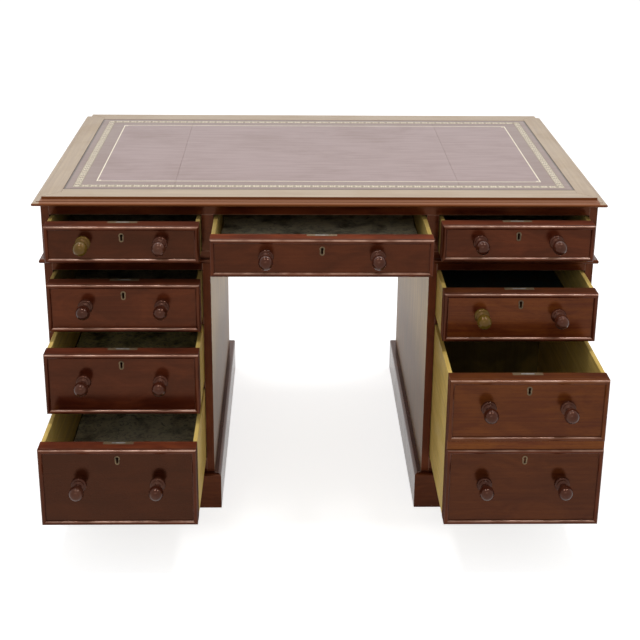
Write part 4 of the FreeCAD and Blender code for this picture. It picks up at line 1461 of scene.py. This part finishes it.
def screw_pattern(sizes):
    """A slotted screw head, sunk flush."""
    shape = bmesh.new()
    radius = sizes.screw_head
    slot = sizes.screw_slot
    rim = SCREW_EDGE_SHARE * slot
    profile = [(SCREW_FOOT_SHARE * radius, -2 * slot), (radius, -rim), (SCREW_RIM_SHARE * radius, rim)]
    lathe(shape, profile, SCREW_SIDES)
    cutter = bmesh.new()
    box_shape(cutter, (-radius, -slot / 2, -slot), (radius, slot / 2, slot))
    mesh = mesh_from(shape, "screw")
    cut_mesh = mesh_from(cutter, "slot")
    screw = bpy.data.objects.new("screw", mesh)
    cut = bpy.data.objects.new("slot", cut_mesh)
    for item in (screw, cut):
        bpy.context.scene.collection.objects.link(item)
    modifier = screw.modifiers.new("Slot", "BOOLEAN")
    modifier.object = cut
    modifier.operation = "DIFFERENCE"
    modifier.solver = "EXACT"
    view = bpy.context.evaluated_depsgraph_get()
    slotted = bpy.data.meshes.new_from_object(screw.evaluated_get(view), depsgraph=view)
    for item in (screw, cut):
        remove_pattern(item)
    return pattern_object("screw_pattern", slotted)


class DESK_OT_locks(bpy.types.Operator):
    """Makes the brass locks, their escutcheons, bolts and slotted screws"""

    bl_idname = "desk.locks"
    bl_label = "Locks"

    def execute(self, context):
        sizes = context.scene.desk_sizes
        pattern = screw_pattern(sizes)
        for drawer in DRAWERS:
            node = drawer + "_lock"
            solids = closed_solids(node)
            plates = solids[:-SCREWS_PER_LOCK]
            worked_copy(node, drawer + "_brass", "brass", sizes.brass_edge, solids=plates)
            worked_copy(node + "_bolt", drawer + "_bolt_steel", "steel", sizes.brass_edge)
            places = []
            facings = []
            for triangles in solids[-SCREWS_PER_LOCK:]:
                low, high = corners_of(triangles)
                middle = (low + high) / 2
                upright = high.z - low.z > high.y - low.y
                places.append((middle.x, middle.y, high.z) if upright else (middle.x, high.y, middle.z))
                facings.append((0, 0, 1) if upright else (0, 1, 0))
            mesh = grown_mesh(
                node + "_screws", set_on_points(), points_mesh(node, places, facings), pattern=pattern,
                material=material_named("brass"), twist=math.pi, seed=sizes.seed,
            )
            add_piece(drawer + "_screws", mesh, BODY_OF[node], "brass", [node])
        remove_pattern(pattern)
        return {"FINISHED"}


def ways_of_seeing(nodes):
    """One for rays that show a thing itself and one for those that show its mirror image."""
    path = nodes.add("ShaderNodeLightPath").outputs
    mirrored = nodes.maths("MAXIMUM", path["Is Glossy Ray"], path["Is Transmission Ray"])
    return path["Is Camera Ray"], mirrored


def add_lamp(name, power, place, target, size):
    """A soft rectangular lamp that points at a target."""
    lamp = bpy.data.lights.new(name, "AREA")
    lamp.shape = "RECTANGLE"
    lamp.size = size[0]
    lamp.size_y = size[1]
    lamp.energy = power
    holder = bpy.data.objects.new(name, lamp)
    bpy.context.scene.collection.objects.link(holder)
    holder.location = place
    holder.rotation_mode = "QUATERNION"
    holder.rotation_quaternion = (Vector(target) - Vector(place)).to_track_quat("-Z", "Y")


class DESK_OT_stage(bpy.types.Operator):
    """Sets up the floor, the surroundings, the lamps and the camera"""

    bl_idname = "desk.stage"
    bl_label = "Stage"

    def execute(self, context):
        stage = context.scene.desk_stage
        self.surroundings(context.scene, stage)
        self.floor(context.scene, stage)
        self.lamps(stage)
        self.camera(context.scene, stage)
        context.scene.view_settings.view_transform = "Standard"
        return {"FINISHED"}

    @staticmethod
    def surroundings(scene, stage):
        world = bpy.data.worlds.new("white_studio")
        world.use_nodes = True
        scene.world = world
        nodes = Nodes(world.node_tree)
        background = world.node_tree.nodes["Background"].inputs
        background["Color"].default_value = (1, 1, 1, 1)
        shown = nodes.maths("MAXIMUM", *ways_of_seeing(nodes))
        nodes.feed(background["Strength"], nodes.spread(shown, 0.0, 1.0, stage.ambient, 1.0))

    @staticmethod
    def floor(scene, stage):
        mesh = bpy.data.meshes.new("floor")
        half = stage.floor_size / 2
        corners = [(-half, -half, 0), (half, -half, 0), (half, half, 0), (-half, half, 0)]
        mesh.from_pydata(corners, [], [range(len(corners))])
        material = bpy.data.materials.new("pale_floor")
        material.use_nodes = True
        nodes = Nodes(material.node_tree)
        shader = material.node_tree.nodes["Principled BSDF"].inputs
        nodes.feed(shader["Base Color"], scene.desk_colours.floor)
        shader["Specular IOR Level"].default_value = 0
        shader["Roughness"].default_value = 1
        shader["Emission Color"].default_value = (1, 1, 1, 1)
        direct, mirrored = ways_of_seeing(nodes)
        glow = nodes.maths("MULTIPLY", direct, stage.floor_glow)
        glow = nodes.maths("MAXIMUM", glow, nodes.maths("MULTIPLY", mirrored, stage.mirror_glow))
        nodes.feed(shader["Emission Strength"], glow)
        mesh.materials.append(material)
        floor = bpy.data.objects.new("floor", mesh)
        scene.collection.objects.link(floor)

    @staticmethod
    def lamps(stage):
        add_lamp("front", stage.front, stage.front_place, stage.front_target, stage.front_size)
        size = (stage.lamp_length, stage.lamp_width)
        for y, power in zip(stage.lamp_back, stage.overhead):
            for x in stage.lamp_row:
                add_lamp("overhead", power, (x, y, stage.lamp_height), (x, y, 0), size)

    @staticmethod
    def camera(scene, stage):
        eye = bpy.data.cameras.new("camera")
        eye.lens = stage.lens
        eye.sensor_width = 36
        eye.shift_y = stage.lens_shift
        holder = bpy.data.objects.new("camera", eye)
        scene.collection.objects.link(holder)
        pitch = stage.camera_pitch
        yaw = stage.camera_yaw
        roll = stage.camera_roll
        level = math.cos(pitch)
        ahead = Vector((math.sin(yaw) * level, math.cos(yaw) * level, -math.sin(pitch)))
        right = Vector((math.cos(yaw), -math.sin(yaw), 0))
        up = right.cross(ahead)
        leaning_right = right * math.cos(roll) + up * math.sin(roll)
        leaning_up = up * math.cos(roll) - right * math.sin(roll)
        turn = Matrix((leaning_right, leaning_up, -ahead)).transposed()
        holder.matrix_world = Matrix.Translation(Vector(stage.camera_place)) @ turn.to_4x4()
        scene.camera = holder


OPERATORS = (
    DESK_OT_border,
    DESK_OT_leather,
    DESK_OT_tooling,
    DESK_OT_carcass,
    DESK_OT_fronts,
    DESK_OT_linings,
    DESK_OT_papers,
    DESK_OT_knobs,
    DESK_OT_locks,
    DESK_OT_stage,
)


class DESK_PT_panel(bpy.types.Panel):
    """Lists the steps that dress the desk"""

    bl_idname = "DESK_PT_panel"
    bl_label = "Pedestal Desk"
    bl_space_type = "VIEW_3D"
    bl_region_type = "UI"
    bl_category = "Desk"

    def draw(self, context):
        for operator in OPERATORS:
            self.layout.operator(operator.bl_idname)
        for settings in (context.scene.desk_sizes, context.scene.desk_colours, context.scene.desk_stage):
            column = self.layout.column()
            for name in settings.__annotations__:
                column.prop(settings, name)


SETTINGS = {"desk_sizes": DeskSizes, "desk_colours": DeskColours, "desk_stage": DeskStage}


def register():
    for kind in (*SETTINGS.values(), *OPERATORS, DESK_PT_panel):
        bpy.utils.register_class(kind)
    for name, kind in SETTINGS.items():
        setattr(bpy.types.Scene, name, PointerProperty(type=kind))


def unregister():
    for name in SETTINGS:
        delattr(bpy.types.Scene, name)
    for kind in reversed((*SETTINGS.values(), *OPERATORS, DESK_PT_panel)):
        bpy.utils.unregister_class(kind)


def main():
    register()
    for operator in OPERATORS:
        group, name = operator.bl_idname.split(".")
        getattr(getattr(bpy.ops, group), name)()


if __name__ == "__main__":
    main()
